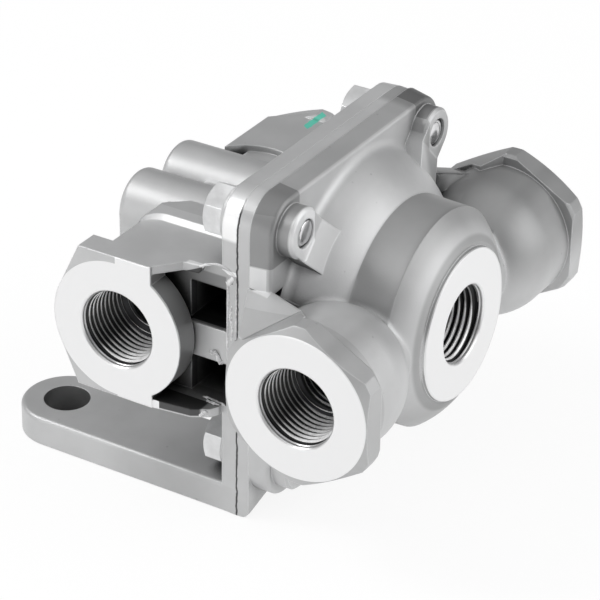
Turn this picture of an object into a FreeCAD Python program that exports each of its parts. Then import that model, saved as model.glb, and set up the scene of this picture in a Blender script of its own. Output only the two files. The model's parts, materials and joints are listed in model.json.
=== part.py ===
import FreeCAD, Part
import math
import os
from FreeCAD import Vector

# Quick exhaust valve with two inlets (double check), two outlets and one
# exhaust port. Millimetres. X runs along the main axis toward the exhaust
# port, Y along the port pairs, Z up. The outlet ports' axis is at X = 0.

# joint flanges and bolts, set out from the dome that they close
dome_base_radius = 40.5
flange_margin = 3.2
flange_half = dome_base_radius + flange_margin
corner_radius = 9.4
bolt_offset = flange_half - corner_radius
flange_draft = 0.2
plate_proud = 0.2
rim_proud = 0.4
supply_back_x = -32.0
joint_x = -27.2
plate_front_x = -23.6
flange_front_x = -17.5
flange_taper = 0.9
flange_edge_radius = 1.1
bolt_boss_x = -12.9
bolt_boss_radius = 6.9
lower_boss_radius = 7.8
boss_chamfer = 0.7
boss_rib_flat = 5.1
boss_rib_fall = 2.5
boss_rib_reach = 15.5
lower_pad_drop = 1.2
notch_inner_y = 34.5
notch_root_z = 20.1
notch_front_z = 19.0
notch_corner_radius = 1.7
bolt_radius = 4.0
bolt_clearance = 0.4
head_boss_radius = 7.6
head_seat_x = -33.9
head_height = 5.9
head_chamfer = 0.7
head_flats = 13.0
bolt_tip_recess = 0.6

# ports (M22 x 1.5 internal threads, bored at the nominal thread radius)
port_radius = 11.0
port_mouth_chamfer = 0.45
outlet_face_y = 59.9
outlet_face_radius = 20.3
outlet_hex_flats = 41.4
outlet_hex_length = 7.2
outlet_barrel_radius = 19.8
neck_root_radius = 13.4
neck_root_y = 28.0
neck_mid_radius = 17.5
neck_mid_y = 33.2
neck_full_y = 42.0
hex_corner_trim = 0.9
hex_back_chamfer = 1.0
outlet_thread_depth = 15.5
outlet_passage_radius = 8.5
exhaust_face_x = 15.7
exhaust_face_radius = 21.1
exhaust_face_step = 1.1
exhaust_thread_depth = 13.5
inlet_axis_x = -59.6
inlet_face_proud = 8.1
inlet_face_y = flange_half + inlet_face_proud
inlet_face_radius = 19.8
inlet_head_length = 7.0
inlet_thread_depth = 15.5
inlet_tube_radius = 16.0

# outlet housing body of revolution
dome_root_flare = 1.6
dome_foot = 2.4
dome_foot_drop = 1.4
dome_bulge = 1.15
drum_radius = 30.7
drum_start_x = -4.0
drum_end_x = 8.2
drum_taper = 0.4
drum_round_mid = 3.8
drum_round_drop = 3.8
drum_front_radius = 22.3
dome_wall = 7.5
chamber_radius = dome_base_radius - dome_wall
chamber_end_x = -21.5
drum_bore_set_back = 4.0
drum_bore_corner = (2.0, 3.0)
drum_bore_radius = 26.2
drum_bore_end_x = 7.4
exhaust_tube_outer = 14.8
exhaust_tube_step_x = -3.0
exhaust_nose_outer = 11.6
exhaust_nose_x = -13.0
exhaust_passage_radius = 8.4
drill_cone = 0.6

# webs between the flange and the outlet hexagons
web_root_z = 20.0
web_rear_z = 17.2
web_embed = 0.8
web_flange_x = -16.8
web_ridge_x = -6.0
web_ridge_y = 3.8
web_ridge_rise = 0.6
web_tip_x = -17.2
web_tip_fall = 5.9
web_end_x = -1.0
web_hub_y = 5.7
web_hub_z = 14.0

# supply housing body
top_pad_z = 21.8
step_top_z = 23.0
step_front_y = -28.7
step_slope = 1.9
step_corner = 6.0
step_corner_fall = step_corner * 0.75
step_corner_mid = (step_corner * 0.27, 1.5)
step_root = step_corner * 2.0
step_rear = step_corner * 0.8
step_left_share = 0.15
bottom_pad_z = -20.3
lip_wall = 2.4
deck_left_x = -65.0
deck_front_y = -flange_half
head_top_left = -11.5
head_top_right = 10.9
head_low_left = -12.6
head_facet_x = 18.0
head_facet_z = 8.1
rear_head_turn = 7.5
rear_floor_z = 20.0
rear_pad_left_x = -70.0
rear_pad_front_y = 21.8
rear_pad_corner_y = 39.5
rear_pad_cut_x = -61.0
rear_pad_depth = 13.8
rear_pad_corner_drop = 5.0
rear_pad_corner_run = 18.0
rear_pad_corner_mid = 8.0
rear_pad_corner_bow = 0.6
rear_pad_skew = 2.5
rear_pad_side_share = 0.6
rear_pad_side_x = 4.0
recess_step = 2.4
block_overlap = recess_step * 3.0
pocket_deep_y = 22.0
pocket_left = 6.0
ear_radius = 5.6
ear_set_in = 1.8
ear_z = 17.4
ear_floor_z = 19.2
lip_overlap = 1.0
top_lip_run = 5.4
top_lip_reach = 0.6
top_lip_y = flange_half + top_lip_reach
low_lip_start = 0.3
# each corner of the lower lip: its x, and how far it stands out of the flange
low_lip_corners = ((-37.7, 6.4), (-33.3, 3.7), (-32.0, 1.5))
rib_relief = 1.0
pocket_relief = 1.4
window_left_x = -43.0
window_top_z = 15.4
rib_top_z = 4.5
rib_bottom_z = -5.2
lobe_radius = 9.9
lobe_front_y = -11.8
lobe_rear_y = 8.1
lobe_z = 14.6
lobe_end_x = -80.0
lobe_end_round = 2.0
lobe_flat = 0.3
chin_x = 0.8
chin_z = 5.0
chin_root_x = 12.0
chin_root_z = -9.0
core_depth = 6.0
core_rise = 0.9
lobe_core_radius = 4.4
recess_margin = 2.0
recess_radius = chamber_radius - recess_margin
recess_depth = 1.2
centre_passage_radius = 7.6

# bracket arm
arm_bolt_gap = 8.3
arm_thickness = 8.4
arm_top_z = -(bolt_offset + arm_bolt_gap)
arm_bottom_z = arm_top_z - arm_thickness
arm_hole_x = -91.6
arm_hole_y = -30.9
arm_half_width = 12.8
foot_height = 9.0
foot_flat = 1.7
foot_slope = 9.0
foot_rise = 2.3
foot_width = 18.0
foot_corner_radius = 2.2
foot_bow = 1.8
foot_inner_rise = 1.0
arm_hole_radius = 6.5
arm_edge_radius = 1.2

# joint seal
seal_set_in = 3.9
seal_mean_radius = dome_base_radius - seal_set_in
seal_section = 1.9
seal_groove_width = 2.6

# shuttle (double check) parts on the inlet axis
shuttle_bore_radius = 10.0
rear_passage_end_y = 20.0
shuttle_bore_end_y = 30.0
seat_bore_drill = 0.8
shuttle_length = 16.0
shuttle_travel = 4.0
shuttle_fit = 0.06
shuttle_flat_share = 0.72
shuttle_waist_radius = 5.0
shuttle_waist_half = 2.4
shuttle_pad_radius = 8.5
shuttle_pad_thickness = 2.0
check_seat_bore = 6.6
check_front_length = 7.0
check_rear_length = 13.0
check_seat_lip = 0.8
check_seal_section = 1.6
snap_ring_width = 1.2
snap_ring_depth = 0.8

# quick release parts on the main axis
inlet_seat_radius = 9.8
inlet_seat_flange_radius = 12.6
inlet_seat_flange = 1.4
inlet_seat_depth = 3.6
inlet_seat_lip_x = -24.6
seat_bore = 6.9
lip_outer_radius = 8.9
diaphragm_radius = 24.0
diaphragm_thickness = 3.0
diaphragm_hole = 3.2
follower_radius = 15.6
follower_thickness = 2.2
follower_hub_radius = 10.6
follower_travel = 2.4
wing_length = 10.0
wing_thickness = 2.0
wing_fit = 0.08
release_pad_thickness = 1.8
release_pad_radius = 10.2
screw_radius = 2.5
screw_head_radius = 4.6
screw_head_height = 1.8
washer_radius = 6.3
washer_thickness = 1.2
exhaust_seat_radius = 9.9
exhaust_seat_depth = 4.6
exhaust_seat_flange = 1.3
exhaust_seat_flange_radius = 11.4
spring_wire = 1.3
spring_turns = 4.0
spring_mean_radius = 13.1

x_axis = Vector(1, 0, 0)
y_axis = Vector(0, 1, 0)
z_axis = Vector(0, 0, 1)


def cyl_x(radius, x0, x1, y=0.0, z=0.0):
    return Part.makeCylinder(radius, x1 - x0, Vector(x0, y, z), x_axis)


def cyl_y(radius, y0, y1, x=0.0, z=0.0):
    return Part.makeCylinder(radius, y1 - y0, Vector(x, y0, z), y_axis)


def cyl_z(radius, z0, z1, x=0.0, y=0.0):
    return Part.makeCylinder(radius, z1 - z0, Vector(x, y, z0), z_axis)


def box(x0, x1, y0, y1, z0, z1):
    return Part.makeBox(x1 - x0, y1 - y0, z1 - z0, Vector(x0, y0, z0))


def face_of(points):
    return Part.Face(Part.makePolygon(points + [points[0]]))


def prism_x(points, x0, x1):
    face = face_of([Vector(x0, y, z) for y, z in points])
    return face.extrude(Vector(x1 - x0, 0, 0))


def prism_y(points, y0, y1):
    face = face_of([Vector(x, y0, z) for x, z in points])
    return face.extrude(Vector(0, y1 - y0, 0))


def prism_z(points, z0, z1):
    face = face_of([Vector(x, y, z0) for x, y in points])
    return face.extrude(Vector(0, 0, z1 - z0))


def revolve(edges, axis, base=Vector(0, 0, 0)):
    face = Part.Face(Part.Wire(edges))
    return face.revolve(base, axis, 360)


def line(a, b):
    return Part.LineSegment(a, b).toShape()


def arc(a, b, c):
    return Part.Arc(a, b, c).toShape()


def ring_x(outer, inner, x0, x1, y=0.0, z=0.0):
    return cyl_x(outer, x0, x1, y, z).cut(cyl_x(inner, x0, x1, y, z))


def ring_y(outer, inner, y0, y1, x=0.0, z=0.0):
    return cyl_y(outer, y0, y1, x, z).cut(cyl_y(inner, y0, y1, x, z))


def fuse_all(shapes):
    return shapes[0].multiFuse(shapes[1:]).removeSplitter()


def rounded_square(x, half, radius):
    c = half - radius
    k = radius * math.sqrt(0.5)
    v = lambda y, z: Vector(x, y, z)
    edges = [
        line(v(-c, -half), v(c, -half)),
        arc(v(c, -half), v(c + k, -c - k), v(half, -c)),
        line(v(half, -c), v(half, c)),
        arc(v(half, c), v(c + k, c + k), v(c, half)),
        line(v(c, half), v(-c, half)),
        arc(v(-c, half), v(-c - k, c + k), v(-half, c)),
        line(v(-half, c), v(-half, -c)),
        arc(v(-half, -c), v(-c - k, -c - k), v(-c, -half)),
    ]
    return Part.Wire(edges)


def plate(x0, x1, half0, half1):
    return Part.makeLoft(
        [rounded_square(x0, half0, corner_radius), rounded_square(x1, half1, corner_radius)],
        True, True)


def edges_at_x(shape, x):
    return [e for e in shape.Edges
            if all(abs(v.Point.x - x) < 1e-4 for v in e.Vertexes)]


def corners():
    return [(sy * bolt_offset, sz * bolt_offset) for sy in (-1, 1) for sz in (-1, 1)]


def hexagon(flats, corner_up):
    radius = flats / math.sqrt(3.0)
    start = 90.0 if corner_up else 0.0
    return [(radius * math.cos(math.radians(start + 60.0 * i)),
             radius * math.sin(math.radians(start + 60.0 * i))) for i in range(6)]


def port_cut_y(face_y, depth, passage_radius, passage_end, x=0.0):
    # bore with a chamfered mouth and a drill cone, then the passage behind it
    s = 1.0 if face_y > 0 else -1.0
    bottom = face_y - s * depth
    cone = bottom - s * (port_radius - passage_radius) * drill_cone
    mouth = port_radius + port_mouth_chamfer
    p = lambda r, y: Vector(x + r, y, 0)
    pts = [p(0, face_y + s), p(mouth, face_y + s), p(mouth, face_y),
           p(port_radius, face_y - s * port_mouth_chamfer), p(port_radius, bottom),
           p(passage_radius, cone), p(passage_radius, passage_end), p(0, passage_end)]
    edges = [line(pts[i], pts[(i + 1) % len(pts)]) for i in range(len(pts))]
    return revolve(edges, y_axis, Vector(x, 0, 0))


def dome_and_drum():
    v = lambda x, r: Vector(x, r, 0)
    r1 = dome_base_radius
    x1 = flange_front_x
    foot_x = x1 + dome_foot
    foot_r = r1 - dome_foot_drop
    mid_x = (foot_x + drum_start_x) * 0.5
    mid_r = (foot_r + drum_radius) * 0.5 + dome_bulge
    drum_end_r = drum_radius - drum_taper
    face_x = exhaust_face_x
    hub_x = face_x - exhaust_face_step
    edges = [
        line(v(joint_x, 0), v(joint_x, r1)),
        line(v(joint_x, r1), v(x1, r1 + dome_root_flare)),
        arc(v(x1, r1 + dome_root_flare), v(x1 + dome_foot * 0.2, r1), v(foot_x, foot_r)),
        arc(v(foot_x, foot_r), v(mid_x, mid_r), v(drum_start_x, drum_radius)),
        line(v(drum_start_x, drum_radius), v(drum_end_x, drum_end_r)),
        arc(v(drum_end_x, drum_end_r),
            v(drum_end_x + drum_round_mid, drum_end_r - drum_round_drop),
            v(hub_x, drum_front_radius)),
        line(v(hub_x, drum_front_radius), v(hub_x, exhaust_face_radius + 0.3)),
        line(v(hub_x, exhaust_face_radius + 0.3), v(face_x, exhaust_face_radius)),
        line(v(face_x, exhaust_face_radius), v(face_x, 0)),
        line(v(face_x, 0), v(joint_x, 0)),
    ]
    return revolve(edges, x_axis)


def outlet_barrel(side):
    # round neck whose shoulder tucks into the drum
    v = lambda r, y: Vector(r, side * y, 0)
    r = outlet_barrel_radius
    inner = neck_root_y * 0.65
    end = outlet_face_y - outlet_hex_length * 0.9
    edges = [
        line(v(0, inner), v(neck_root_radius, inner)),
        line(v(neck_root_radius, inner), v(neck_root_radius, neck_root_y)),
        arc(v(neck_root_radius, neck_root_y), v(neck_mid_radius, neck_mid_y),
            v(r, neck_full_y)),
        line(v(r, neck_full_y), v(r, end)),
        line(v(r, end), v(0, end)),
        line(v(0, end), v(0, inner)),
    ]
    return revolve(edges, y_axis)


def facing_cone(side, x, y0, face_y, face_radius, outer):
    # what the lathe leaves of a head: a flat disc and a 30 degree chamfer round it
    v = lambda r, y: Vector(x + r, side * y, 0)
    slope = (outer - face_radius) * math.tan(math.radians(30))
    pts = [v(0, y0), v(outer - hex_back_chamfer * 0.6, y0), v(outer, y0 + hex_back_chamfer),
           v(outer, face_y - slope), v(face_radius, face_y), v(0, face_y)]
    edges = [line(pts[i], pts[(i + 1) % len(pts)]) for i in range(len(pts))]
    return revolve(edges, y_axis, Vector(x, 0, 0))


def hex_end(side, x, face_y, length, face_radius, flats, corner_up):
    y0 = face_y - length
    points = [(x + px, pz) for px, pz in hexagon(flats, corner_up)]
    body = prism_y(points, side * y0, side * face_y)
    trim = flats / math.sqrt(3.0) - hex_corner_trim
    return body.common(facing_cone(side, x, y0, face_y, face_radius, trim))


def side_web(side):
    # web from the flange side to the upper and lower facets of the outlet hexagon
    front = outlet_face_y
    root_y = flange_half - web_embed
    ridge_y = flange_half + web_ridge_y
    hex_y = front - outlet_hex_length
    root_z = web_root_z if side < 0 else web_rear_z
    ridge_z = root_z + web_ridge_rise
    tip_z = root_z - web_tip_fall
    x0 = plate_front_x - web_embed
    w = lambda x, y, z: Vector(x, side * y, z)

    def section(xa, ya, za, xb, yb, zb):
        pts = [w(xa, ya, za), w(xb, yb, zb), w(xb, yb, -zb), w(xa, ya, -za)]
        return Part.makePolygon(pts + pts[:1])

    root = section(x0, root_y, root_z, web_flange_x, root_y, root_z)
    tip = section(web_tip_x, front, tip_z, web_ridge_x, ridge_y, ridge_z)
    web = Part.makeLoft([root, tip], True, True)
    reach = math.hypot(x0, web_root_z) + 2.0
    web = web.common(facing_cone(side, 0.0, root_y - 2.0, front, outlet_face_radius, reach))
    # fill between the web's ridge and the hexagon, then the stem into the dome
    plan = [(web_ridge_x, side * ridge_y), (web_end_x, side * (hex_y + web_embed)),
            (web_ridge_x * 2.0, side * (hex_y + web_embed))]
    fill = prism_z(plan, -outlet_hex_flats, outlet_hex_flats)
    shank = prism_y(hexagon(outlet_hex_flats, True), side * root_y, side * front)
    fill = fill.common(shank)
    hub_z = root_z - web_root_z + web_hub_z
    hub = section(x0, root_y - web_hub_y, hub_z, web_ridge_x, root_y - web_hub_y, hub_z)
    rim = section(x0, root_y + 0.1, root_z, web_flange_x, root_y + 0.1, root_z)
    stem = Part.makeLoft([hub, rim], True, True)
    return [web, fill, stem]


def bolt_boss(y, z):
    radius = bolt_boss_radius if z > 0 else lower_boss_radius
    post = cyl_x(radius, plate_front_x, bolt_boss_x, y, z)
    post = post.makeChamfer(boss_chamfer, edges_at_x(post, bolt_boss_x)[:1])
    # rib toward the axis with a ramp that meets the dome
    h = bolt_boss_radius - boss_chamfer
    low_x = bolt_boss_x + boss_rib_fall
    outline = [(0, plate_front_x), (0, bolt_boss_x), (boss_rib_flat, bolt_boss_x),
               (boss_rib_reach * 0.8, low_x), (boss_rib_reach, low_x),
               (boss_rib_reach, plate_front_x)]
    face = face_of([Vector(x, -h, -d) for d, x in outline])
    rib = face.extrude(Vector(0, 2 * h, 0))
    angle = math.degrees(math.atan2(-y, z))
    rib.rotate(Vector(0, 0, 0), x_axis, angle)
    rib.translate(Vector(0, y, z))
    return post.fuse(rib)


def notch(side):
    # slanted cut that lets the outlet's web through the raised rim
    y0 = side * notch_inner_y
    y1 = side * outlet_face_y
    sections = []
    for x, z in ((plate_front_x, notch_root_z), (flange_front_x, notch_front_z)):
        pts = [Vector(x, y0, -z), Vector(x, y0, z), Vector(x, y1, z), Vector(x, y1, -z)]
        sections.append(Part.makePolygon(pts + pts[:1]))
    cut = Part.makeLoft(sections, True, True)
    for z in (-notch_front_z, notch_front_z):
        cut = cut.fuse(cyl_x(notch_corner_radius, plate_front_x, flange_front_x,
                             y0 + side * notch_corner_radius * 0.3, z))
    return cut


def raised_flange():
    half = flange_half + rim_proud
    rim = plate(plate_front_x, flange_front_x, half, half - flange_taper)
    for side in (-1, 1):
        pad = cyl_x(corner_radius, plate_front_x, flange_front_x, side * bolt_offset,
                    -bolt_offset - lower_pad_drop)
        rim = rim.fuse(pad)
    rim = rim.removeSplitter()
    rim = rim.makeFillet(flange_edge_radius, edges_at_x(rim, flange_front_x))
    for side in (-1, 1):
        rim = rim.cut(notch(side))
    return rim


def outlet_cavity():
    bore_start_x = drum_start_x - drum_bore_set_back
    corner_run, corner_fall = drum_bore_corner
    v = lambda x, r: Vector(x, r, 0)
    edges = [
        line(v(joint_x, 0), v(joint_x, chamber_radius)),
        line(v(joint_x, chamber_radius), v(chamber_end_x, chamber_radius)),
        line(v(chamber_end_x, chamber_radius), v(bore_start_x, drum_bore_radius)),
        line(v(bore_start_x, drum_bore_radius),
             v(drum_bore_end_x - corner_run, drum_bore_radius)),
        line(v(drum_bore_end_x - corner_run, drum_bore_radius),
             v(drum_bore_end_x, drum_bore_radius - corner_fall)),
        line(v(drum_bore_end_x, drum_bore_radius - corner_fall),
             v(drum_bore_end_x, exhaust_tube_outer)),
        line(v(drum_bore_end_x, exhaust_tube_outer), v(exhaust_tube_step_x, exhaust_tube_outer)),
        line(v(exhaust_tube_step_x, exhaust_tube_outer),
             v(exhaust_tube_step_x, exhaust_nose_outer)),
        line(v(exhaust_tube_step_x, exhaust_nose_outer), v(exhaust_nose_x, exhaust_nose_outer)),
        line(v(exhaust_nose_x, exhaust_nose_outer), v(exhaust_nose_x, 0)),
        line(v(exhaust_nose_x, 0), v(joint_x, 0)),
    ]
    return revolve(edges, x_axis)


def exhaust_bore():
    bottom = exhaust_face_x - exhaust_thread_depth
    cone = bottom - (port_radius - exhaust_passage_radius) * drill_cone
    seat_pocket = exhaust_nose_x + exhaust_seat_depth
    mouth = port_radius + port_mouth_chamfer
    v = lambda x, r: Vector(x, r, 0)
    pts = [v(exhaust_face_x + 1, 0), v(exhaust_face_x + 1, mouth), v(exhaust_face_x, mouth),
           v(exhaust_face_x - port_mouth_chamfer, port_radius), v(bottom, port_radius),
           v(cone, exhaust_passage_radius), v(seat_pocket, exhaust_passage_radius),
           v(seat_pocket, exhaust_seat_radius), v(exhaust_nose_x - 1, exhaust_seat_radius),
           v(exhaust_nose_x - 1, 0)]
    edges = [line(pts[i], pts[(i + 1) % len(pts)]) for i in range(len(pts))]
    return revolve(edges, x_axis)


def make_outlet_housing():
    parts = [plate(joint_x, plate_front_x, flange_half + plate_proud, flange_half),
             raised_flange(), dome_and_drum(), foot_toe()]
    for y, z in corners():
        parts.append(bolt_boss(y, z))
    for side in (-1, 1):
        parts.append(outlet_barrel(side))
        parts.append(hex_end(side, 0.0, outlet_face_y, outlet_hex_length,
                             outlet_face_radius, outlet_hex_flats, True))
        parts.extend(side_web(side))
    body = fuse_all(parts)
    cuts = [outlet_cavity(), exhaust_bore()]
    for side in (-1, 1):
        cuts.append(port_cut_y(side * outlet_face_y, outlet_thread_depth,
                               outlet_passage_radius, side * (exhaust_tube_outer + 3.0)))
    for y, z in corners():
        cuts.append(cyl_x(bolt_radius, joint_x - 1, bolt_boss_x + 1, y, z))
    return body.cut(fuse_all(cuts)).removeSplitter()


def front_inlet_head():
    # flat-topped head with a full-radius right side; the deck runs back from it
    y0 = -inlet_face_y
    y1 = -inlet_face_y + inlet_head_length
    x = inlet_axis_x
    outline = [(x + head_top_left, top_pad_z), (x + head_top_right, top_pad_z),
               (x + head_top_right, bottom_pad_z), (x + head_low_left, bottom_pad_z),
               (x - head_facet_x, -head_facet_z), (x - head_facet_x, head_facet_z)]
    body = prism_y(outline, y0, y1)
    return body.fuse(cyl_y(inlet_face_radius, y0, y1, x))


def rear_inlet_head():
    head = hex_end(1, 0.0, inlet_face_y, inlet_head_length, inlet_face_radius,
                   outlet_hex_flats, True)
    head.rotate(Vector(0, 0, 0), y_axis, rear_head_turn)
    head.translate(Vector(inlet_axis_x, 0, 0))
    return head


def front_deck():
    # block behind the front head, with thin lips that run out to the head's corners
    corner = inlet_axis_x + head_top_right
    block = box(deck_left_x, supply_back_x, deck_front_y, -inlet_tube_radius, bottom_pad_z,
                top_pad_z)
    root = deck_front_y + lip_overlap
    head_back = -inlet_face_y + inlet_head_length * 0.5
    left = [(deck_left_x, root), (deck_left_x, head_back)]
    top = left + [(corner, head_back), (corner, head_back - lip_wall),
                  (corner + top_lip_run, -top_lip_y), (supply_back_x, root)]
    low = left + [(corner, head_back), (corner, -inlet_face_y + low_lip_start)]
    low = low + [(x, -flange_half - reach) for x, reach in low_lip_corners]
    low.append((supply_back_x, root))
    top_lip = prism_z(top, top_pad_z - lip_wall, top_pad_z)
    low_lip = prism_z(low, bottom_pad_z, bottom_pad_z + lip_wall)
    return [block, top_lip, low_lip]


def rear_deck():
    # block behind the rear head; its top stands above the floor beside the lobes
    y0 = inlet_tube_radius
    y1 = inlet_face_y - inlet_head_length * 0.5
    low = box(deck_left_x, supply_back_x, y0, y1, bottom_pad_z, rear_floor_z)
    x0 = rear_pad_left_x
    x1 = supply_back_x
    front = rear_pad_front_y
    low_front = front - rear_pad_corner_drop
    bend_x = x0 + rear_pad_corner_run
    end_front = front - rear_pad_skew
    side_y = (front + y1) * rear_pad_side_share
    side_x = inlet_axis_x + rear_pad_side_x
    v = lambda x, y: Vector(x, y, top_pad_z - rear_pad_depth)
    edges = [
        arc(v(x0, low_front), v(x0 + rear_pad_corner_mid, front + rear_pad_corner_bow),
            v(bend_x, front)),
        line(v(bend_x, front), v(x1, end_front)),
        line(v(x1, end_front), v(x1, side_y)),
        line(v(x1, side_y), v(side_x, y1)),
        line(v(side_x, y1), v(rear_pad_cut_x, y1)),
        line(v(rear_pad_cut_x, y1), v(x0, rear_pad_corner_y)),
        line(v(x0, rear_pad_corner_y), v(x0, low_front)),
    ]
    pad = Part.Face(Part.Wire(edges)).extrude(Vector(0, 0, rear_pad_depth))
    return [low, pad]


def step_outline(z, inset):
    # plan of the second level: rounded front left corner, straight front edge
    left = deck_left_x + inset * step_left_share
    front = step_front_y + inset
    x1 = supply_back_x
    y1 = lobe_front_y
    mid_x, mid_fall = step_corner_mid
    v = lambda x, y: Vector(x, y, z)
    edges = [
        arc(v(left, front - step_corner_fall), v(left + mid_x, front - mid_fall),
            v(left + step_corner, front)),
        line(v(left + step_corner, front), v(x1, front)),
        line(v(x1, front), v(x1, y1)),
        line(v(x1, y1), v(left + step_root, y1)),
        line(v(left + step_root, y1), v(left, front + step_rear)),
        line(v(left, front + step_rear), v(left, front - step_corner_fall)),
    ]
    return Part.Wire(edges)


def raised_deck():
    # second level between the front pad and the front lobe, with a sloped front edge
    wall = Part.makeLoft([step_outline(top_pad_z - 1.0, 0.0), step_outline(top_pad_z, 0.0)],
                         True, True)
    slope = Part.makeLoft([step_outline(top_pad_z, 0.0), step_outline(step_top_z, step_slope)],
                          True, True)
    return wall.fuse(slope)


def centre_body():
    # cross tube, neck along the main axis and the block that carries the lobes
    reach = inlet_face_y - inlet_head_length * 0.3
    tube = cyl_y(inlet_tube_radius, -reach, reach, inlet_axis_x)
    neck = cyl_x(inlet_tube_radius, inlet_axis_x, supply_back_x)
    y0 = -inlet_tube_radius - block_overlap
    block = box(deck_left_x, supply_back_x, y0, inlet_tube_radius + recess_step, 0, rear_floor_z)
    return [tube, neck, block]


def lobes():
    out = []
    tip_x = lobe_end_x + chin_x
    chin = [(tip_x, lobe_z), (tip_x, chin_z), (inlet_axis_x - chin_root_x, chin_root_z),
            (inlet_axis_x, chin_root_z), (inlet_axis_x, lobe_z)]
    half = lobe_radius - lobe_flat
    for y in (lobe_front_y, lobe_rear_y):
        lobe = cyl_x(lobe_radius, lobe_end_x, supply_back_x, y, lobe_z)
        out.append(lobe.makeFillet(lobe_end_round, edges_at_x(lobe, lobe_end_x)[:1]))
        out.append(prism_y(chin, y - half, y + half))
    return out


def side_pocket(side):
    # recess beside the head with two deep windows and a rib between them
    y_face = side * flange_half
    y_rim = side * outlet_face_y
    y_floor = side * (flange_half - recess_step)
    y_deep = side * pocket_deep_y
    x0 = inlet_axis_x + pocket_left
    x1 = supply_back_x + pocket_relief
    x2 = x1 + rib_relief
    low = bottom_pad_z + lip_wall
    high = top_pad_z - lip_wall
    rim = (min(y_rim, y_floor), max(y_rim, y_floor))
    shallow = box(x0, x1, rim[0], rim[1], low, high)
    ear_x = supply_back_x - ear_set_in
    ear = cyl_y(ear_radius, rim[0], rim[1], ear_x, ear_z)
    ear = ear.common(box(ear_x - ear_radius, ear_x + ear_radius, rim[0], rim[1], ear_floor_z,
                         ear_z + ear_radius))
    shallow = shallow.fuse(ear)
    rib = box(window_left_x + rib_relief, x2, min(y_face, y_floor), max(y_face, y_floor),
              rib_bottom_z, rib_top_z)
    shallow = shallow.cut(rib)
    deep = (min(y_rim, y_deep), max(y_rim, y_deep))
    upper = box(window_left_x, x1, deep[0], deep[1], rib_top_z, window_top_z)
    lower = box(window_left_x, x1, deep[0], deep[1], low, rib_bottom_z)
    return shallow.fuse(upper).fuse(lower)


def bracket_arm():
    y_front = arm_hole_y - arm_half_width
    y_rear = arm_hole_y + arm_half_width
    x_root = (supply_back_x + joint_x) * 0.5
    bar = box(arm_hole_x, x_root, y_front, y_rear, arm_bottom_z, arm_top_z)
    tip = cyl_z(arm_half_width, arm_bottom_z, arm_top_z, arm_hole_x, arm_hole_y)
    arm = bar.fuse(tip).removeSplitter()
    rim = [e for e in arm.Edges
           if all(abs(v.Point.z - arm_top_z) < 1e-4 for v in e.Vertexes)
           and e.BoundBox.XLength > arm_edge_radius]
    return arm.makeFillet(arm_edge_radius, rim)


def flange_front(x):
    # how far the flange reaches toward the front at a section
    share = (x - supply_back_x) / (joint_x - supply_back_x)
    if share > 1.0:
        share = 1.0 - (x - joint_x) / (plate_front_x - joint_x) * plate_proud / flange_draft
    return flange_half + plate_proud - flange_draft * (1.0 - share)


def foot(x0, x1):
    # lower corner of both flanges, level with the arm at the front and fading out behind
    top = -flange_half + foot_height
    sections = []
    for x in (x0, x1):
        y = -flange_front(x)
        v = lambda yy, zz: Vector(x, yy, zz)
        inner = y + foot_width
        inner_z = -flange_half + foot_inner_rise
        bend = y + foot_flat + foot_slope
        edges = [
            line(v(y, top), v(y, arm_bottom_z)),
            line(v(y, arm_bottom_z), v(y + foot_flat, arm_bottom_z)),
            line(v(y + foot_flat, arm_bottom_z), v(bend, arm_bottom_z + foot_rise)),
            arc(v(bend, arm_bottom_z + foot_rise),
                v((bend + inner) * 0.5, arm_bottom_z + foot_rise * foot_bow),
                v(inner, inner_z)),
            line(v(inner, inner_z), v(inner, top)),
            line(v(inner, top), v(y, top)),
        ]
        sections.append(Part.Wire(edges))
    return Part.makeLoft(sections, True, True)


def foot_toe():
    # the outlet flange's share of the foot, rounded at its lower front edge
    toe = foot(joint_x, plate_front_x)
    edge = [e for e in edges_at_x(toe, plate_front_x)
            if e.BoundBox.ZMax < -flange_half - 2.0]
    return toe.makeFillet(foot_corner_radius, edge)


def arm_hole():
    return cyl_z(arm_hole_radius, arm_bottom_z - 1, arm_top_z + 1, arm_hole_x, arm_hole_y)


def supply_cuts():
    x = inlet_axis_x
    cuts = [port_cut_y(-inlet_face_y, inlet_thread_depth, check_seat_bore + seat_bore_drill, 0.0,
                       x),
            port_cut_y(inlet_face_y, inlet_thread_depth, shuttle_bore_radius,
                       rear_passage_end_y, x)]
    front_seat_y = -(shuttle_length * 0.5 + shuttle_travel)
    cuts.append(cyl_y(shuttle_bore_radius, front_seat_y - check_front_length,
                      shuttle_bore_end_y, x))
    rear_seat_y = shuttle_length * 0.5 + shuttle_travel
    ring_y0 = rear_seat_y + check_rear_length
    cuts.append(cyl_y(shuttle_bore_radius + snap_ring_depth, ring_y0,
                      ring_y0 + snap_ring_width, x))
    cuts.append(cyl_x(centre_passage_radius, x, joint_x))
    floor_x = joint_x - recess_depth
    cuts.append(cyl_x(recess_radius, floor_x, joint_x + 1))
    cuts.append(cyl_x(inlet_seat_radius, floor_x - inlet_seat_depth, floor_x + 1))
    cuts.append(ring_x(seal_mean_radius + seal_groove_width * 0.5,
                       seal_mean_radius - seal_groove_width * 0.5,
                       joint_x - seal_section, joint_x))
    for y in (lobe_front_y, lobe_rear_y):
        cuts.append(cyl_x(lobe_core_radius, lobe_end_x + core_depth, joint_x, y,
                          lobe_z + core_rise))
    for y, z in corners():
        cuts.append(cyl_x(bolt_radius + bolt_clearance, head_seat_x - 1, joint_x + 1, y, z))
    cuts.append(arm_hole())
    return cuts


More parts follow.
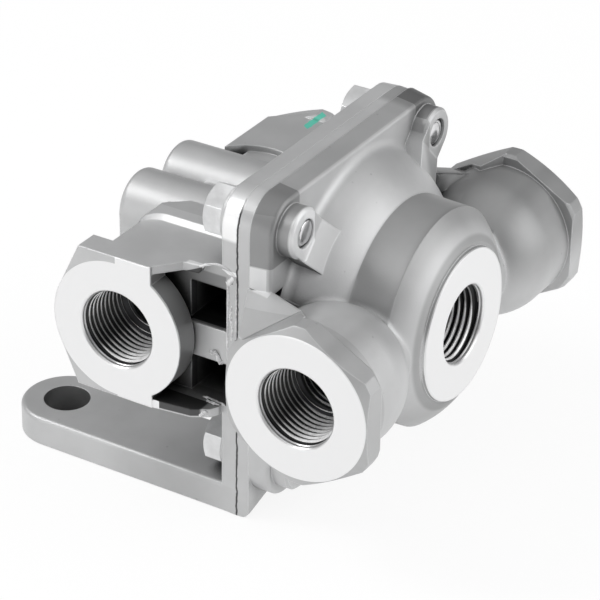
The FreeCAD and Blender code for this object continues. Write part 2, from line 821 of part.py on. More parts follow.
def make_supply_housing():
    flange = plate(supply_back_x, joint_x, flange_half + plate_proud - flange_draft,
                   flange_half + plate_proud)
    parts = [flange] + front_deck() + rear_deck() + [raised_deck()] + centre_body() + lobes()
    for y, z in corners():
        parts.append(cyl_x(head_boss_radius, head_seat_x, supply_back_x + 0.5, y, z))
    body = fuse_all(parts)
    for side in (-1, 1):
        body = body.cut(side_pocket(side))
    body = fuse_all([body, bracket_arm(), foot(supply_back_x, joint_x), front_inlet_head(),
                     rear_inlet_head()])
    return body.cut(fuse_all(supply_cuts())).removeSplitter()


def cover_bolt(y, z):
    head_x = head_seat_x - head_height
    radius = head_flats / math.sqrt(3.0)
    points = [(y + radius * math.cos(math.radians(60 * i + 30)),
               z + radius * math.sin(math.radians(60 * i + 30))) for i in range(6)]
    head = prism_x(points, head_x, head_seat_x)
    v = lambda x, r: Vector(x, y + r, z)
    trim = radius - 0.05
    pts = [v(head_x, 0), v(head_x, trim - 1.0), v(head_x + head_chamfer, trim), v(head_seat_x, trim),
           v(head_seat_x, 0)]
    edges = [line(pts[i], pts[(i + 1) % len(pts)]) for i in range(len(pts))]
    head = head.common(revolve(edges, x_axis, Vector(0, y, z)))
    shank = cyl_x(bolt_radius, head_seat_x - 0.5, bolt_boss_x - bolt_tip_recess, y, z)
    tip = shank.makeChamfer(0.8, edges_at_x(shank, bolt_boss_x - bolt_tip_recess)[:1])
    return head.fuse(tip).removeSplitter()


def make_cover_bolts():
    return Part.makeCompound([cover_bolt(y, z) for y, z in corners()])


def make_joint_seal():
    half = seal_section * 0.5
    return Part.makeTorus(seal_mean_radius, half, Vector(joint_x - half, 0, 0), x_axis)


def seat_ring_y(y_face, length, direction):
    # ring with a raised lip toward the shuttle
    x = inlet_axis_x
    back = y_face + direction * length
    y0, y1 = sorted((y_face, back))
    ring = ring_y(shuttle_bore_radius, check_seat_bore, y0, y1, x)
    lip_root = y_face + direction * check_seat_lip
    a, b = sorted((y_face, lip_root))
    trim = ring_y(shuttle_bore_radius, check_seat_bore + 1.1, a, b, x)
    return ring.cut(trim)


def make_check_seat_front():
    return seat_ring_y(-(shuttle_length * 0.5 + shuttle_travel), check_front_length, -1)


def rear_seal_y():
    return shuttle_length * 0.5 + shuttle_travel + check_rear_length * 0.55


def make_check_seat_rear():
    ring = seat_ring_y(shuttle_length * 0.5 + shuttle_travel, check_rear_length, 1)
    mid = rear_seal_y()
    half = check_seal_section * 0.5 + 0.3
    groove = ring_y(shuttle_bore_radius, shuttle_bore_radius - check_seal_section,
                    mid - half, mid + half, inlet_axis_x)
    return ring.cut(groove)


def make_check_seat_seal():
    half = check_seal_section * 0.5
    return Part.makeTorus(shuttle_bore_radius - half, half,
                          Vector(inlet_axis_x, rear_seal_y(), 0), y_axis)


def make_check_snap_ring():
    y0 = shuttle_length * 0.5 + shuttle_travel + check_rear_length
    outer = shuttle_bore_radius + snap_ring_depth
    ring = ring_y(outer, shuttle_bore_radius - 1.3, y0, y0 + snap_ring_width, inlet_axis_x)
    gap = box(inlet_axis_x - 1.6, inlet_axis_x + 1.6, y0 - 1, y0 + snap_ring_width + 1,
              -outer - 1, 0)
    return ring.cut(gap)


def shuttle_core_half():
    return shuttle_length * 0.5 - shuttle_pad_thickness


def make_shuttle():
    half = shuttle_core_half()
    radius = shuttle_bore_radius - shuttle_fit
    core = cyl_y(radius, -half, half, inlet_axis_x)
    for i in range(3):
        cutter = box(inlet_axis_x + radius * shuttle_flat_share, inlet_axis_x + radius + 1,
                     -half - 1, half + 1, -radius, radius)
        cutter.rotate(Vector(inlet_axis_x, 0, 0), y_axis, 120 * i + 60)
        core = core.cut(cutter)
    waist = ring_y(radius + 1, shuttle_waist_radius, -shuttle_waist_half, shuttle_waist_half,
                   inlet_axis_x)
    return core.cut(waist)


def shuttle_pad(side):
    half = shuttle_core_half()
    y0, y1 = sorted((side * half, side * (half + shuttle_pad_thickness)))
    radius = min(shuttle_pad_radius, (shuttle_bore_radius - shuttle_fit) * 0.71 * 1.2)
    return cyl_y(radius, y0, y1, inlet_axis_x)


def make_inlet_seat():
    floor_x = joint_x - recess_depth
    body = cyl_x(inlet_seat_radius, floor_x - inlet_seat_depth, floor_x)
    rim = cyl_x(inlet_seat_flange_radius, floor_x, floor_x + inlet_seat_flange)
    lip = cyl_x(lip_outer_radius, floor_x, inlet_seat_lip_x)
    groove = ring_x(inlet_seat_radius, inlet_seat_radius - check_seal_section,
                    floor_x - inlet_seat_depth * 0.5 - 1.0,
                    floor_x - inlet_seat_depth * 0.5 + 1.0)
    bore = cyl_x(seat_bore, floor_x - inlet_seat_depth, inlet_seat_lip_x)
    return fuse_all([body, rim, lip]).cut(groove.fuse(bore))


def make_inlet_seat_seal():
    half = check_seal_section * 0.5
    x = joint_x - recess_depth - inlet_seat_depth * 0.5
    return Part.makeTorus(inlet_seat_radius - half, half, Vector(x, 0, 0), x_axis)


def diaphragm_front_x():
    return inlet_seat_lip_x + diaphragm_thickness


def make_diaphragm():
    disc = cyl_x(diaphragm_radius, inlet_seat_lip_x, diaphragm_front_x())
    disc = disc.makeFillet(1.0, [e for e in disc.Edges if len(e.Vertexes) == 1
                                 or e.BoundBox.XLength < 1e-6])
    return disc.cut(cyl_x(diaphragm_hole, inlet_seat_lip_x - 1, diaphragm_front_x() + 1))


def follower_face_x():
    return diaphragm_front_x() + follower_thickness


def make_follower():
    x0 = diaphragm_front_x()
    x1 = follower_face_x()
    disc = cyl_x(follower_radius, x0, x1)
    hub = ring_x(follower_hub_radius, release_pad_radius, x1, x1 + release_pad_thickness * 0.6)
    stem_r = seat_bore - wing_fit
    wings = cyl_x(3.4, x1, x1 + wing_length)
    for i in range(3):
        wing = box(x1, x1 + wing_length, -wing_thickness * 0.5, wing_thickness * 0.5, 0, stem_r)
        wing.rotate(Vector(0, 0, 0), x_axis, 120 * i)
        wings = wings.fuse(wing)
    wings = wings.common(cyl_x(stem_r, x1, x1 + wing_length))
    screw_hole = cyl_x(screw_radius, x0 - 1, x1 + wing_length - 2)
    return fuse_all([disc, hub, wings]).cut(screw_hole)


def make_release_pad():
    x0 = follower_face_x()
    pad = cyl_x(release_pad_radius, x0, x0 + release_pad_thickness)
    return pad.cut(cyl_x(seat_bore + 0.3, x0 - 1, x0 + release_pad_thickness + 1))


def make_clamp_washer():
    x1 = inlet_seat_lip_x
    return ring_x(washer_radius, diaphragm_hole, x1 - washer_thickness, x1)


def make_clamp_screw():
    x1 = inlet_seat_lip_x - washer_thickness
    head = cyl_x(screw_head_radius, x1 - screw_head_height, x1)
    shank = cyl_x(screw_radius, x1, follower_face_x() + wing_length - 3)
    socket = prism_x(hexagon(3.0, True), x1 - screw_head_height - 1, x1 - 0.6)
    return head.fuse(shank).removeSplitter().cut(socket)


def make_exhaust_seat():
    x0 = exhaust_nose_x
    body = cyl_x(exhaust_seat_radius, x0, x0 + exhaust_seat_depth)
    rim = cyl_x(exhaust_seat_flange_radius, x0 - exhaust_seat_flange, x0)
    lip_x = follower_face_x() + release_pad_thickness + follower_travel
    lip = cyl_x(lip_outer_radius, lip_x, x0)
    mid = x0 + exhaust_seat_depth * 0.5
    groove = ring_x(exhaust_seat_radius, exhaust_seat_radius - check_seal_section,
                    mid - 1.0, mid + 1.0)
    bore = cyl_x(seat_bore, lip_x - 1, x0 + exhaust_seat_depth + 1)
    return fuse_all([body, rim, lip]).cut(groove.fuse(bore))


def make_exhaust_seat_seal():
    half = check_seal_section * 0.5
    x = exhaust_nose_x + exhaust_seat_depth * 0.5
    return Part.makeTorus(exhaust_seat_radius - half, half, Vector(x, 0, 0), x_axis)


def make_return_spring():
    x0 = follower_face_x()
    x1 = exhaust_tube_step_x
    r = spring_wire * 0.5
    length = x1 - x0 - spring_wire
    pitch = length / spring_turns
    helix = Part.makeLongHelix(pitch, length, spring_mean_radius)
    profile = Part.Wire(Part.makeCircle(r, Vector(spring_mean_radius, 0, 0), y_axis))
    coil = Part.Wire(helix.Edges).makePipeShell([profile], True, True)
    coil.rotate(Vector(0, 0, 0), y_axis, 90)
    coil.translate(Vector(x0 + r, 0, 0))
    return coil


def main():
    nodes = {
        "supply_housing": make_supply_housing(),
        "outlet_housing": make_outlet_housing(),
        "cover_bolts": make_cover_bolts(),
        "joint_seal": make_joint_seal(),
        "check_seat_front": make_check_seat_front(),
        "check_seat_rear": make_check_seat_rear(),
        "check_seat_seal": make_check_seat_seal(),
        "check_snap_ring": make_check_snap_ring(),
        "shuttle": make_shuttle(),
        "shuttle_pad_front": shuttle_pad(-1),
        "shuttle_pad_rear": shuttle_pad(1),
        "inlet_seat": make_inlet_seat(),
        "inlet_seat_seal": make_inlet_seat_seal(),
        "diaphragm": make_diaphragm(),
        "follower": make_follower(),
        "release_pad": make_release_pad(),
        "clamp_washer": make_clamp_washer(),
        "clamp_screw": make_clamp_screw(),
        "exhaust_seat": make_exhaust_seat(),
        "exhaust_seat_seal": make_exhaust_seat_seal(),
        "return_spring": make_return_spring(),
    }
    os.makedirs("parts", exist_ok=True)
    # the finished part is stored from the bracket hole's lower edge
    datum = Vector(arm_hole_x, arm_hole_y, arm_bottom_z)
    for name, shape in nodes.items():
        shape.translate(datum.negative())
        shape.exportStep("parts/" + name + ".step")
        print(name, len(shape.Solids), shape.isValid(), round(shape.Volume, 1))


main()
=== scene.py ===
import json
import math
import random

import bmesh
import bpy
from mathutils import Matrix, Vector


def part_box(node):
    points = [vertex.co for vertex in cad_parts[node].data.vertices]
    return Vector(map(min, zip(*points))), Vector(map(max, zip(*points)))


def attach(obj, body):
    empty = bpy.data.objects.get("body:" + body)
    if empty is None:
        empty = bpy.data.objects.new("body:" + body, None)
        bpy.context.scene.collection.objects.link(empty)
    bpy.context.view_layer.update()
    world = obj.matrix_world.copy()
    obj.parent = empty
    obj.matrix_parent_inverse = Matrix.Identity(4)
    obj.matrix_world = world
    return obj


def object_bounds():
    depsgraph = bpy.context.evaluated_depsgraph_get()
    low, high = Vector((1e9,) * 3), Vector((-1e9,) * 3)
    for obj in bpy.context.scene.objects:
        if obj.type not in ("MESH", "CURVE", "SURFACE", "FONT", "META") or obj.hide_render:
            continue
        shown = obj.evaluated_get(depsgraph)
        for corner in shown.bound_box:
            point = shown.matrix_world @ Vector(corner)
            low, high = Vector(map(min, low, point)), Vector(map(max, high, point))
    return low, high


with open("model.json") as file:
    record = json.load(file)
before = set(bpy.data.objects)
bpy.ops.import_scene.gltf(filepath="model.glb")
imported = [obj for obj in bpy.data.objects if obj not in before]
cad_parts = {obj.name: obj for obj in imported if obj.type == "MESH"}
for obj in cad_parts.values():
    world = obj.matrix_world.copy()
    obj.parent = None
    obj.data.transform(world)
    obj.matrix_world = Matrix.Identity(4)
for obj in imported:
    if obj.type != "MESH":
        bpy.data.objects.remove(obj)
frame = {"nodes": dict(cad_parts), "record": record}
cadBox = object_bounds()
cad = frame["nodes"]
mounts = {m["name"]: m for m in frame["record"]["mounts"]}
threadedPorts = [m for m in mounts.values() if m["kind"] == "threaded_hole"]
mm = 0.001
print("frame loaded:", len(cad), "CAD nodes,", len(threadedPorts), "threaded ports")


# camera: solved from the port circles and the flange corners
cameraView = {
    "place": (0.3904, -0.5276, 0.4156),
    "right": (0.8541, 0.5200, 0.0148),
    "up": (-0.2696, 0.4181, 0.8675),
    "back": (0.4449, -0.7449, 0.4972),
    "lens": 165.0,
    "sensor": 36.0,
    "clip": (0.05, 30.0),
}


def makeCamera(view):
    data = bpy.data.cameras.new("photoCamera")
    data.lens = view["lens"]
    data.sensor_width = view["sensor"]
    data.clip_start, data.clip_end = view["clip"]
    camera = bpy.data.objects.new("photoCamera", data)
    turn = Matrix((view["right"], view["up"], view["back"])).transposed()
    camera.matrix_world = Matrix.Translation(view["place"]) @ turn.to_4x4()
    bpy.context.scene.collection.objects.link(camera)
    bpy.context.scene.camera = camera


makeCamera(cameraView)
print("camera placed")


# small helpers for shader trees
def fill(tree, made, name, value):
    socket = made.inputs[name]
    if isinstance(value, bpy.types.NodeSocket):
        tree.links.new(value, socket)
    else:
        socket.default_value = value


def addNode(tree, kind, inputs=None, **settings):
    made = tree.nodes.new("ShaderNode" + kind)
    for name, value in settings.items():
        setattr(made, name, value)
    for name, value in (inputs or {}).items():
        fill(tree, made, name, value)
    return made


def calc(tree, operation, first, second=0.0, third=0.0, clamp=False):
    made = addNode(tree, "Math", operation=operation, use_clamp=clamp)
    for index, value in enumerate((first, second, third)):
        if index < len(made.inputs):
            fill(tree, made, index, value)
    return made.outputs[0]


def ramp(tree, value, low, high, outLow=0.0, outHigh=1.0):
    made = addNode(tree, "MapRange", {"Value": value, "From Min": low, "From Max": high,
                                      "To Min": outLow, "To Max": outHigh},
                   interpolation_type="SMOOTHSTEP")
    return made.outputs[0]


def mixColor(tree, share, first, second, blend="MIX"):
    made = addNode(tree, "Mix", data_type="RGBA", blend_type=blend)
    fill(tree, made, 0, share)
    fill(tree, made, 6, first)
    fill(tree, made, 7, second)
    return made.outputs[2]


def mixValue(tree, share, first, second):
    made = addNode(tree, "Mix", data_type="FLOAT")
    fill(tree, made, 0, share)
    fill(tree, made, 2, first)
    fill(tree, made, 3, second)
    return made.outputs[0]


def newGroup(name, inputs, outputs):
    tree = bpy.data.node_groups.new(name, "ShaderNodeTree")
    for label, kind, value in inputs:
        socket = tree.interface.new_socket(name=label, in_out="INPUT",
                                           socket_type="NodeSocket" + kind)
        if value is not None:
            socket.default_value = value
    for label, kind in outputs:
        tree.interface.new_socket(name=label, in_out="OUTPUT",
                                  socket_type="NodeSocket" + kind)
    start = tree.nodes.new("NodeGroupInput")
    end = tree.nodes.new("NodeGroupOutput")
    return tree, start.outputs, end.inputs


def useGroup(tree, group, **inputs):
    made = tree.nodes.new("ShaderNodeGroup")
    made.node_tree = group
    for name, value in inputs.items():
        fill(tree, made, name, value)
    return made.outputs


def newMaterial(name, color, roughness, metallic=0.0):
    material = bpy.data.materials.new(name)
    material.use_nodes = True
    material.diffuse_color = (*color, 1.0)
    material.roughness = roughness
    material.metallic = metallic
    tree = material.node_tree
    shader = tree.nodes["Principled BSDF"]
    shader.inputs["Base Color"].default_value = (*color, 1.0)
    shader.inputs["Roughness"].default_value = roughness
    shader.inputs["Metallic"].default_value = metallic
    return material, tree, shader


# blasted casting skin: fine grain, larger mottling and a few small pits
skinForm = {
    "grainDetail": 3.0, "grainRoughness": 0.6,
    "mottleDetail": 4.0, "mottleRoughness": 0.55,
    "pitsPerMottle": 2.2, "pitReach": (0.03, 0.07),
}
softEdgeForm = {"samples": 6, "range": (0.80, 0.995)}    # cosine between true and rounded normal


def makeCastSkin(form):
    tree, given, out = newGroup("castSkin",
                                [("Vector", "Vector", None), ("Grain Size", "Float", 0.4 * mm),
                                 ("Mottle Size", "Float", 7 * mm)],
                                [("Height", "Float"), ("Mottle", "Float"), ("Pits", "Float")])
    noises = []
    for part in ("Grain", "Mottle"):
        scale = calc(tree, "DIVIDE", 1.0, given[part + " Size"])
        noises.append(addNode(tree, "TexNoise", {
            "Vector": given["Vector"], "Scale": scale, "Detail": form[part.lower() + "Detail"],
            "Roughness": form[part.lower() + "Roughness"]}).outputs[0])
    grain, mottle = noises
    pits = addNode(tree, "TexVoronoi", {
        "Vector": given["Vector"], "Scale": calc(tree, "MULTIPLY", scale, form["pitsPerMottle"]),
        "Randomness": 1.0})
    pitMask = ramp(tree, pits.outputs["Distance"], *form["pitReach"], 1.0, 0.0)
    tree.links.new(calc(tree, "SUBTRACT", grain, pitMask), out["Height"])
    tree.links.new(mottle, out["Mottle"])
    tree.links.new(pitMask, out["Pits"])
    return tree


# soft arrises: the rounded normal, and how near a point is to an edge
def makeSoftEdge(form):
    tree, given, out = newGroup("softEdge", [("Radius", "Float", 0.6 * mm)],
                                [("Normal", "Vector"), ("Edge", "Float")])
    bevel = addNode(tree, "Bevel", {"Radius": given["Radius"]}, samples=form["samples"])
    flat = addNode(tree, "NewGeometry")
    dot = addNode(tree, "VectorMath", {0: bevel.outputs[0], 1: flat.outputs["Normal"]},
                  operation="DOT_PRODUCT")
    edge = ramp(tree, dot.outputs["Value"], *form["range"], 1.0, 0.0)
    tree.links.new(bevel.outputs[0], out["Normal"])
    tree.links.new(edge, out["Edge"])
    return tree


# fine rings left by a facing tool, about the local Z of the vector given
def makeTurnedRings():
    tree, given, out = newGroup("turnedRings",
                                [("Vector", "Vector", None), ("Pitch", "Float", 0.25 * mm)],
                                [("Height", "Float")])
    split = addNode(tree, "SeparateXYZ", {"Vector": given["Vector"]})
    flat = addNode(tree, "CombineXYZ", {"X": split.outputs[0], "Y": split.outputs[1]})
    size = addNode(tree, "VectorMath", {0: flat.outputs[0]}, operation="LENGTH")
    turns = calc(tree, "DIVIDE", size.outputs["Value"], given["Pitch"])
    wave = calc(tree, "SINE", calc(tree, "MULTIPLY", turns, 2.0 * math.pi))
    tree.links.new(wave, out["Height"])
    return tree


# shade that gathers in recesses and bores
def makeRecessShade():
    tree, given, out = newGroup("recessShade", [("Depth", "Float", 12 * mm)],
                                [("Open", "Float")])
    hollow = addNode(tree, "AmbientOcclusion", {"Distance": given["Depth"]}, samples=8)
    tree.links.new(hollow.outputs["AO"], out["Open"])
    return tree


castSkin = makeCastSkin(skinForm)
softEdge = makeSoftEdge(softEdgeForm)
turnedRings = makeTurnedRings()
recessShade = makeRecessShade()
print("shader groups built")


castFinish = {
    "color": (0.56, 0.563, 0.565),
    "paleColor": (0.61, 0.613, 0.615),
    "mottleRange": (0.30, 0.72),
    "roughness": 0.48,
    "mottleRoughness": 0.10,
    "metallic": 0.62,
    # painted highlight: a pale colour mixed in along the arrises
    "edgeHighlightColor": (0.90, 0.905, 0.91),
    "edgeRadius": 0.60 * mm,
    "edgeHighlightShare": 0.78,
    "shadeBelow": 0.5,               # a zone darker than this hides the painted edge highlight in it
    "blendRadius": 3.0 * mm,
    "grainSize": 0.42 * mm,
    "mottleSize": 14 * mm,
    "bumpDepth": 0.035 * mm,
    "bumpStrength": 0.8,
    "pitColor": (0.2, 0.2, 0.21),
    "pitShare": 0.25,
    "recessDepth": 16 * mm,
    "recessRange": (0.10, 0.52),
    "recessShadeTone": 0.06,
    "machinedColor": (0.875, 0.876, 0.878),
    "machinedRoughness": 0.34,
    "machinedMetallic": 0.8,
    "ringShare": 0.05,
    "faceSkin": 0.05 * mm,
    "faceRadius": {"inlet": 19.8 * mm, "outlet": 20.5 * mm, "exhaust": 21.2 * mm},
    "boreShadeColor": (0.035, 0.035, 0.037),
    "boreRadius": 11.62 * mm,
    "boreDepth": 12 * mm,
    "boreMouth": (1.2 * mm, 0.6 * mm),
}
castSeam = {
    "color": (0.03, 0.03, 0.032),
    "x": 64.4 * mm,
    "half": 0.26 * mm,
    "ragged": 0.9 * mm,
    "raggedScale": 420.0,
    "raggedDetail": 3.0,
    "sides": (40.6 * mm, 42.6 * mm),    # from here outward it is seen
    "share": (0.05, 0.97),
}
axisPlace = (91.6 * mm, 30.9 * mm, 51.0 * mm)    # crossing of the main axis and the outlet axis


def without(tree, value, mask):
    return calc(tree, "MULTIPLY", value, calc(tree, "SUBTRACT", 1.0, mask))


# machined flats are planes at a known place, bores are rings about a port's axis
def fromPort(tree, position, mount):
    shifted = addNode(tree, "VectorMath", {0: position, 1: mount["pos_m"]}, operation="SUBTRACT")
    across = [1.0 - abs(a) for a in mount["axis"]]
    flat = addNode(tree, "VectorMath", {0: shifted.outputs[0], 1: across}, operation="MULTIPLY")
    size = addNode(tree, "VectorMath", {0: flat.outputs[0]}, operation="LENGTH")
    height = addNode(tree, "VectorMath", {0: shifted.outputs[0], 1: mount["axis"]},
                     operation="DOT_PRODUCT")
    return flat.outputs[0], size.outputs["Value"], height.outputs["Value"]


def ringVector(tree, across, axis):
    split = addNode(tree, "SeparateXYZ", {"Vector": across}).outputs
    keep = [i for i in range(3) if abs(axis[i]) < 0.5]
    return addNode(tree, "CombineXYZ", {"X": split[keep[0]], "Y": split[keep[1]]}).outputs[0]


def machinedMasks(tree, coords, axes, look, ports):
    machined, boreShadeMask, rings = 0.0, 0.0, 0.0
    for port in ports:
        half = port["dims"]["length_mm"] * mm / 2
        across, radius, height = fromPort(tree, coords, port)
        kind = port["name"].split("_")[0]
        within = calc(tree, "LESS_THAN", radius, look["faceRadius"][kind])
        if kind == "inlet":
            # the inlets' faces are machined right across on the flange's side
            within = calc(tree, "MAXIMUM", within,
                          calc(tree, "GREATER_THAN", axes[0], port["pos_m"][0]))
        face = calc(tree, "MULTIPLY",
                    calc(tree, "GREATER_THAN", height, half - look["faceSkin"]), within)
        bore = calc(tree, "MULTIPLY", calc(tree, "LESS_THAN", radius, look["boreRadius"]),
                    calc(tree, "GREATER_THAN", height, -half - look["boreDepth"]))
        machined = calc(tree, "MAXIMUM", machined, calc(tree, "MAXIMUM", face, bore))
        # past its mouth the bore gets painted shade, nearly black
        deep, shallow = look["boreMouth"]
        inside = calc(tree, "MULTIPLY", bore, ramp(tree, height, half - deep, half - shallow,
                                                   1.0, 0.0))
        boreShadeMask = calc(tree, "MAXIMUM", boreShadeMask, inside)
        turned = useGroup(tree, turnedRings, Vector=ringVector(tree, across, port["axis"]))
        rings = calc(tree, "MAXIMUM", rings, turned["Height"])
    return machined, boreShadeMask, rings


# ragged dark joint between the two castings, along the front and rear edges
def seamMask(tree, coords, axes, side, seam):
    burr = addNode(tree, "TexNoise", {"Vector": coords, "Scale": seam["raggedScale"],
                                      "Detail": seam["raggedDetail"]})
    wander = calc(tree, "MULTIPLY", calc(tree, "SUBTRACT", burr.outputs[0], 0.5), seam["ragged"])
    gap = calc(tree, "ABSOLUTE", calc(tree, "SUBTRACT", calc(tree, "ADD", axes[0], wander),
                                      seam["x"]))
    line = ramp(tree, gap, seam["half"] * 0.5, seam["half"] * 1.5, 1.0, 0.0)
    return calc(tree, "MULTIPLY", line, ramp(tree, side, *seam["sides"], *seam["share"]))


def makeHousingMaterial(name, look, ports, blends, zones, dab=None):
    material, tree, shader = newMaterial(name, look["color"], look["roughness"], look["metallic"])
    coords = addNode(tree, "TexCoord").outputs["Object"]
    axes = addNode(tree, "SeparateXYZ", {"Vector": coords}).outputs
    measures = castMeasures(tree, axes)
    skin = useGroup(tree, castSkin, Vector=coords, **{"Grain Size": look["grainSize"],
                                                     "Mottle Size": look["mottleSize"]})
    soft = look["edgeRadius"]
    for zone in blends:
        soft = mixValue(tree, zoneMask(tree, measures, zone), soft, look["blendRadius"])
    edge = useGroup(tree, softEdge, Radius=soft)
    shade = useGroup(tree, recessShade, Depth=look["recessDepth"])
    machined, boreShadeMask, rings = machinedMasks(tree, coords, axes, look, ports)

    mottled = ramp(tree, skin["Mottle"], *look["mottleRange"])
    cast = mixColor(tree, mottled, (*look["color"], 1), (*look["paleColor"], 1))
    arrisHighlight = edge["Edge"]
    # each zone multiplies its painted light or shade into the cast colour
    for zone in zones.values():
        mask = zoneMask(tree, measures, zone)
        cast = mixColor(tree, mask, cast, (*[zone["tone"]] * 3, 1), "MULTIPLY")
        if zone["tone"] < look["shadeBelow"]:
            arrisHighlight = without(tree, arrisHighlight, mask)
    # painted highlight along the arrises
    cast = mixColor(tree, calc(tree, "MULTIPLY", arrisHighlight, look["edgeHighlightShare"]), cast,
                    (*look["edgeHighlightColor"], 1))
    cast = mixColor(tree, calc(tree, "MULTIPLY", skin["Pits"], look["pitShare"]), cast,
                    (*look["pitColor"], 1))
    # painted shade in recesses, darker where the ambient occlusion mask is low
    deep = ramp(tree, shade["Open"], *look["recessRange"], look["recessShadeTone"], 1.0)
    cast = mixColor(tree, 1.0, cast, deep, "MULTIPLY")
    color = mixColor(tree, machined, cast, (*look["machinedColor"], 1))
    # painted shade inside the bores
    color = mixColor(tree, boreShadeMask, color, (*look["boreShadeColor"], 1))

    seam = seamMask(tree, coords, axes, measures["side"], castSeam)
    color = mixColor(tree, seam, color, (*castSeam["color"], 1))
    rough = mixValue(tree, machined, look["roughness"], look["machinedRoughness"])
    rough = calc(tree, "ADD", rough, calc(tree, "MULTIPLY",
                                          calc(tree, "SUBTRACT", skin["Mottle"], 0.5),
                                          look["mottleRoughness"]))
    metal = mixValue(tree, machined, look["metallic"], look["machinedMetallic"])
    metal = without(tree, metal, seam)
    if dab:
        mark = dabMask(tree, coords, dab)
        color = mixColor(tree, mark, color, (*dab["color"], 1))
        metal = without(tree, metal, mark)
    tree.links.new(color, shader.inputs["Base Color"])
    tree.links.new(rough, shader.inputs["Roughness"])
    tree.links.new(metal, shader.inputs["Metallic"])

    height = mixValue(tree, machined, skin["Height"],
                      calc(tree, "MULTIPLY", rings, look["ringShare"]))
    bump = addNode(tree, "Bump", {"Strength": look["bumpStrength"], "Distance": look["bumpDepth"],
                                  "Height": height, "Normal": edge["Normal"]})
    tree.links.new(bump.outputs[0], shader.inputs["Normal"])
    return material


# an inspector's dab of paint: a short straight strip with brushed ends
paintDab = {
    "centre": (34.2 * mm, 75.3 * mm, 72.8 * mm),
    "across": (0.724, -0.028, -0.689),
    "along": (0.527, 0.667, 0.527),
    "half": (0.80 * mm, 3.35 * mm),
    "reach": 2.6 * mm,
    "soft": 0.12 * mm,
    "ragged": 0.7 * mm,
    "raggedScale": 900.0,
    "raggedDetail": 2.0,
    "color": (0.11, 0.56, 0.43),
}


def dabMask(tree, coords, dab):
    shifted = addNode(tree, "VectorMath", {0: coords, 1: dab["centre"]}, operation="SUBTRACT")
    rough = addNode(tree, "TexNoise", {"Vector": coords, "Scale": dab["raggedScale"],
                                       "Detail": dab["raggedDetail"]})
    wander = calc(tree, "MULTIPLY", calc(tree, "SUBTRACT", rough.outputs[0], 0.5), dab["ragged"])
    upright = addNode(tree, "SeparateXYZ", {"Vector": shifted.outputs[0]}).outputs[2]
    mask = calc(tree, "LESS_THAN", calc(tree, "ABSOLUTE", upright), dab["reach"])
    for way, half in zip(("across", "along"), dab["half"]):
        part = addNode(tree, "VectorMath", {0: shifted.outputs[0], 1: dab[way]},
                       operation="DOT_PRODUCT")
        gap = calc(tree, "ADD", calc(tree, "ABSOLUTE", part.outputs["Value"]), wander)
        mask = calc(tree, "MULTIPLY", mask, ramp(tree, gap, half - dab["soft"],
                                                 half + dab["soft"], 1.0, 0.0))
    return mask


def paint(material, *names):
    for name in names:
        slots = cad[name].data.materials
        slots.clear()
        slots.append(material)


def portMounts(*names):
    return [mounts[name] for name in names]


# zones of a casting: a tone of painted light (over 1) or painted shade (under 1), the limits that
# hold it in, and those of a part left out of it.
# a limit is a measure, over / under / rise / fall / band, and its places in mm (a band's last is
# its softness). side is the distance from the plane of the main axis, and slant the height over
# the rising line of the deck's lip
deckSlant = {"rise": 0.45, "level": 48.35 * mm}
blendZones = {
    "supply": [{"within": [("z", "band", 66.5, 72.5, 0.4), ("y", "band", 6.0, 51.0, 0.8)]}],
    "outlet": [{"within": [("outletAxis", "band", 9.0, 19.5, 1.0),
                           ("side", "band", 21.0, 36.0, 1.0)]}],
}
# painted light: the flange's top strip made paler
flangeStripLight = {"tone": 1.15, "within": [("x", "band", 58.0, 67.9, 0.1), ("z", "over", 91.5)]}
supplyZones = {
    "flangeStripLight": flangeStripLight,
    # painted shade inside the arm's bolt hole
    "bracketBoreShade": {"tone": 0.3, "within": [("bracketAxis", "fall", 6.52, 6.60)]},
    # painted highlight along the edge of the deck's step
    "stepEdgeHighlight": {"tone": 1.65, "within": [("z", "band", 72.84, 73.96, 0.1), ("y", "under", 8.0)]},
    # painted highlight on the pads under the bolt heads
    "headPadHighlight": {"tone": 1.65, "within": [("boltAxis", "fall", 7.9, 8.1),
                                          ("x", "band", 56.5, 59.7, 0.2)]},
    # the rib across the shaded pocket stays bright
    "pocketShade": {"tone": 0.54, "within": [("x", "band", 42.5, 59.4, 0.3),
                                             ("z", "band", 33.1, 70.2, 0.3),
                                             ("side", "band", 38.5, 51.7, 0.1)],
                    "without": [("z", "band", 45.7, 55.6, 0.1), ("x", "over", 48.8),
                                ("side", "band", 43.0, 44.3, 0.1)]},
    # painted shade deep inside the pocket's windows
    "windowShade": {"tone": 0.10, "within": [("side", "band", 18.0, 42.1, 0.2),
                                            ("x", "band", 48.7, 61.8, 0.6),
                                            ("z", "band", 33.2, 66.6, 0.2)]},
    # painted highlight on the flange's upper corner
    "cornerHighlight": {"tone": 1.70, "within": [("z", "rise", 82.0, 83.5), ("side", "rise", 39.5, 41.5),
                                           ("x", "band", 59.0, 64.1, 0.1)]},
    "lowLipShade": {"tone": 0.16, "within": [("x", "band", 42.6, 56.2, 0.4),
                                             ("z", "band", 31.1, 33.7, 0.12),
                                             ("side", "over", 44.6)]},
    "lipShade": {"tone": 0.15, "within": [("slant", "fall", -0.1, 0.1),
                                          ("x", "band", 49.0, 53.6, 0.2),
                                          ("side", "over", 42.5), ("z", "over", 70.0)]},
    # painted highlight along the deck's front edge
    "deckEdgeHighlight": {"tone": 1.6, "within": [("x", "band", 49.0, 59.0, 0.6),
                                         ("side", "rise", 42.2, 42.8),
                                         ("z", "band", 72.6, 73.2, 0.1)]},
    # painted shade, darker over the arm below 8 mm
    "armFrontShade": {"tone": 0.80, "within": [("z", "under", 8.0), ("x", "band", 28.0, 56.0, 14.0)]},
}
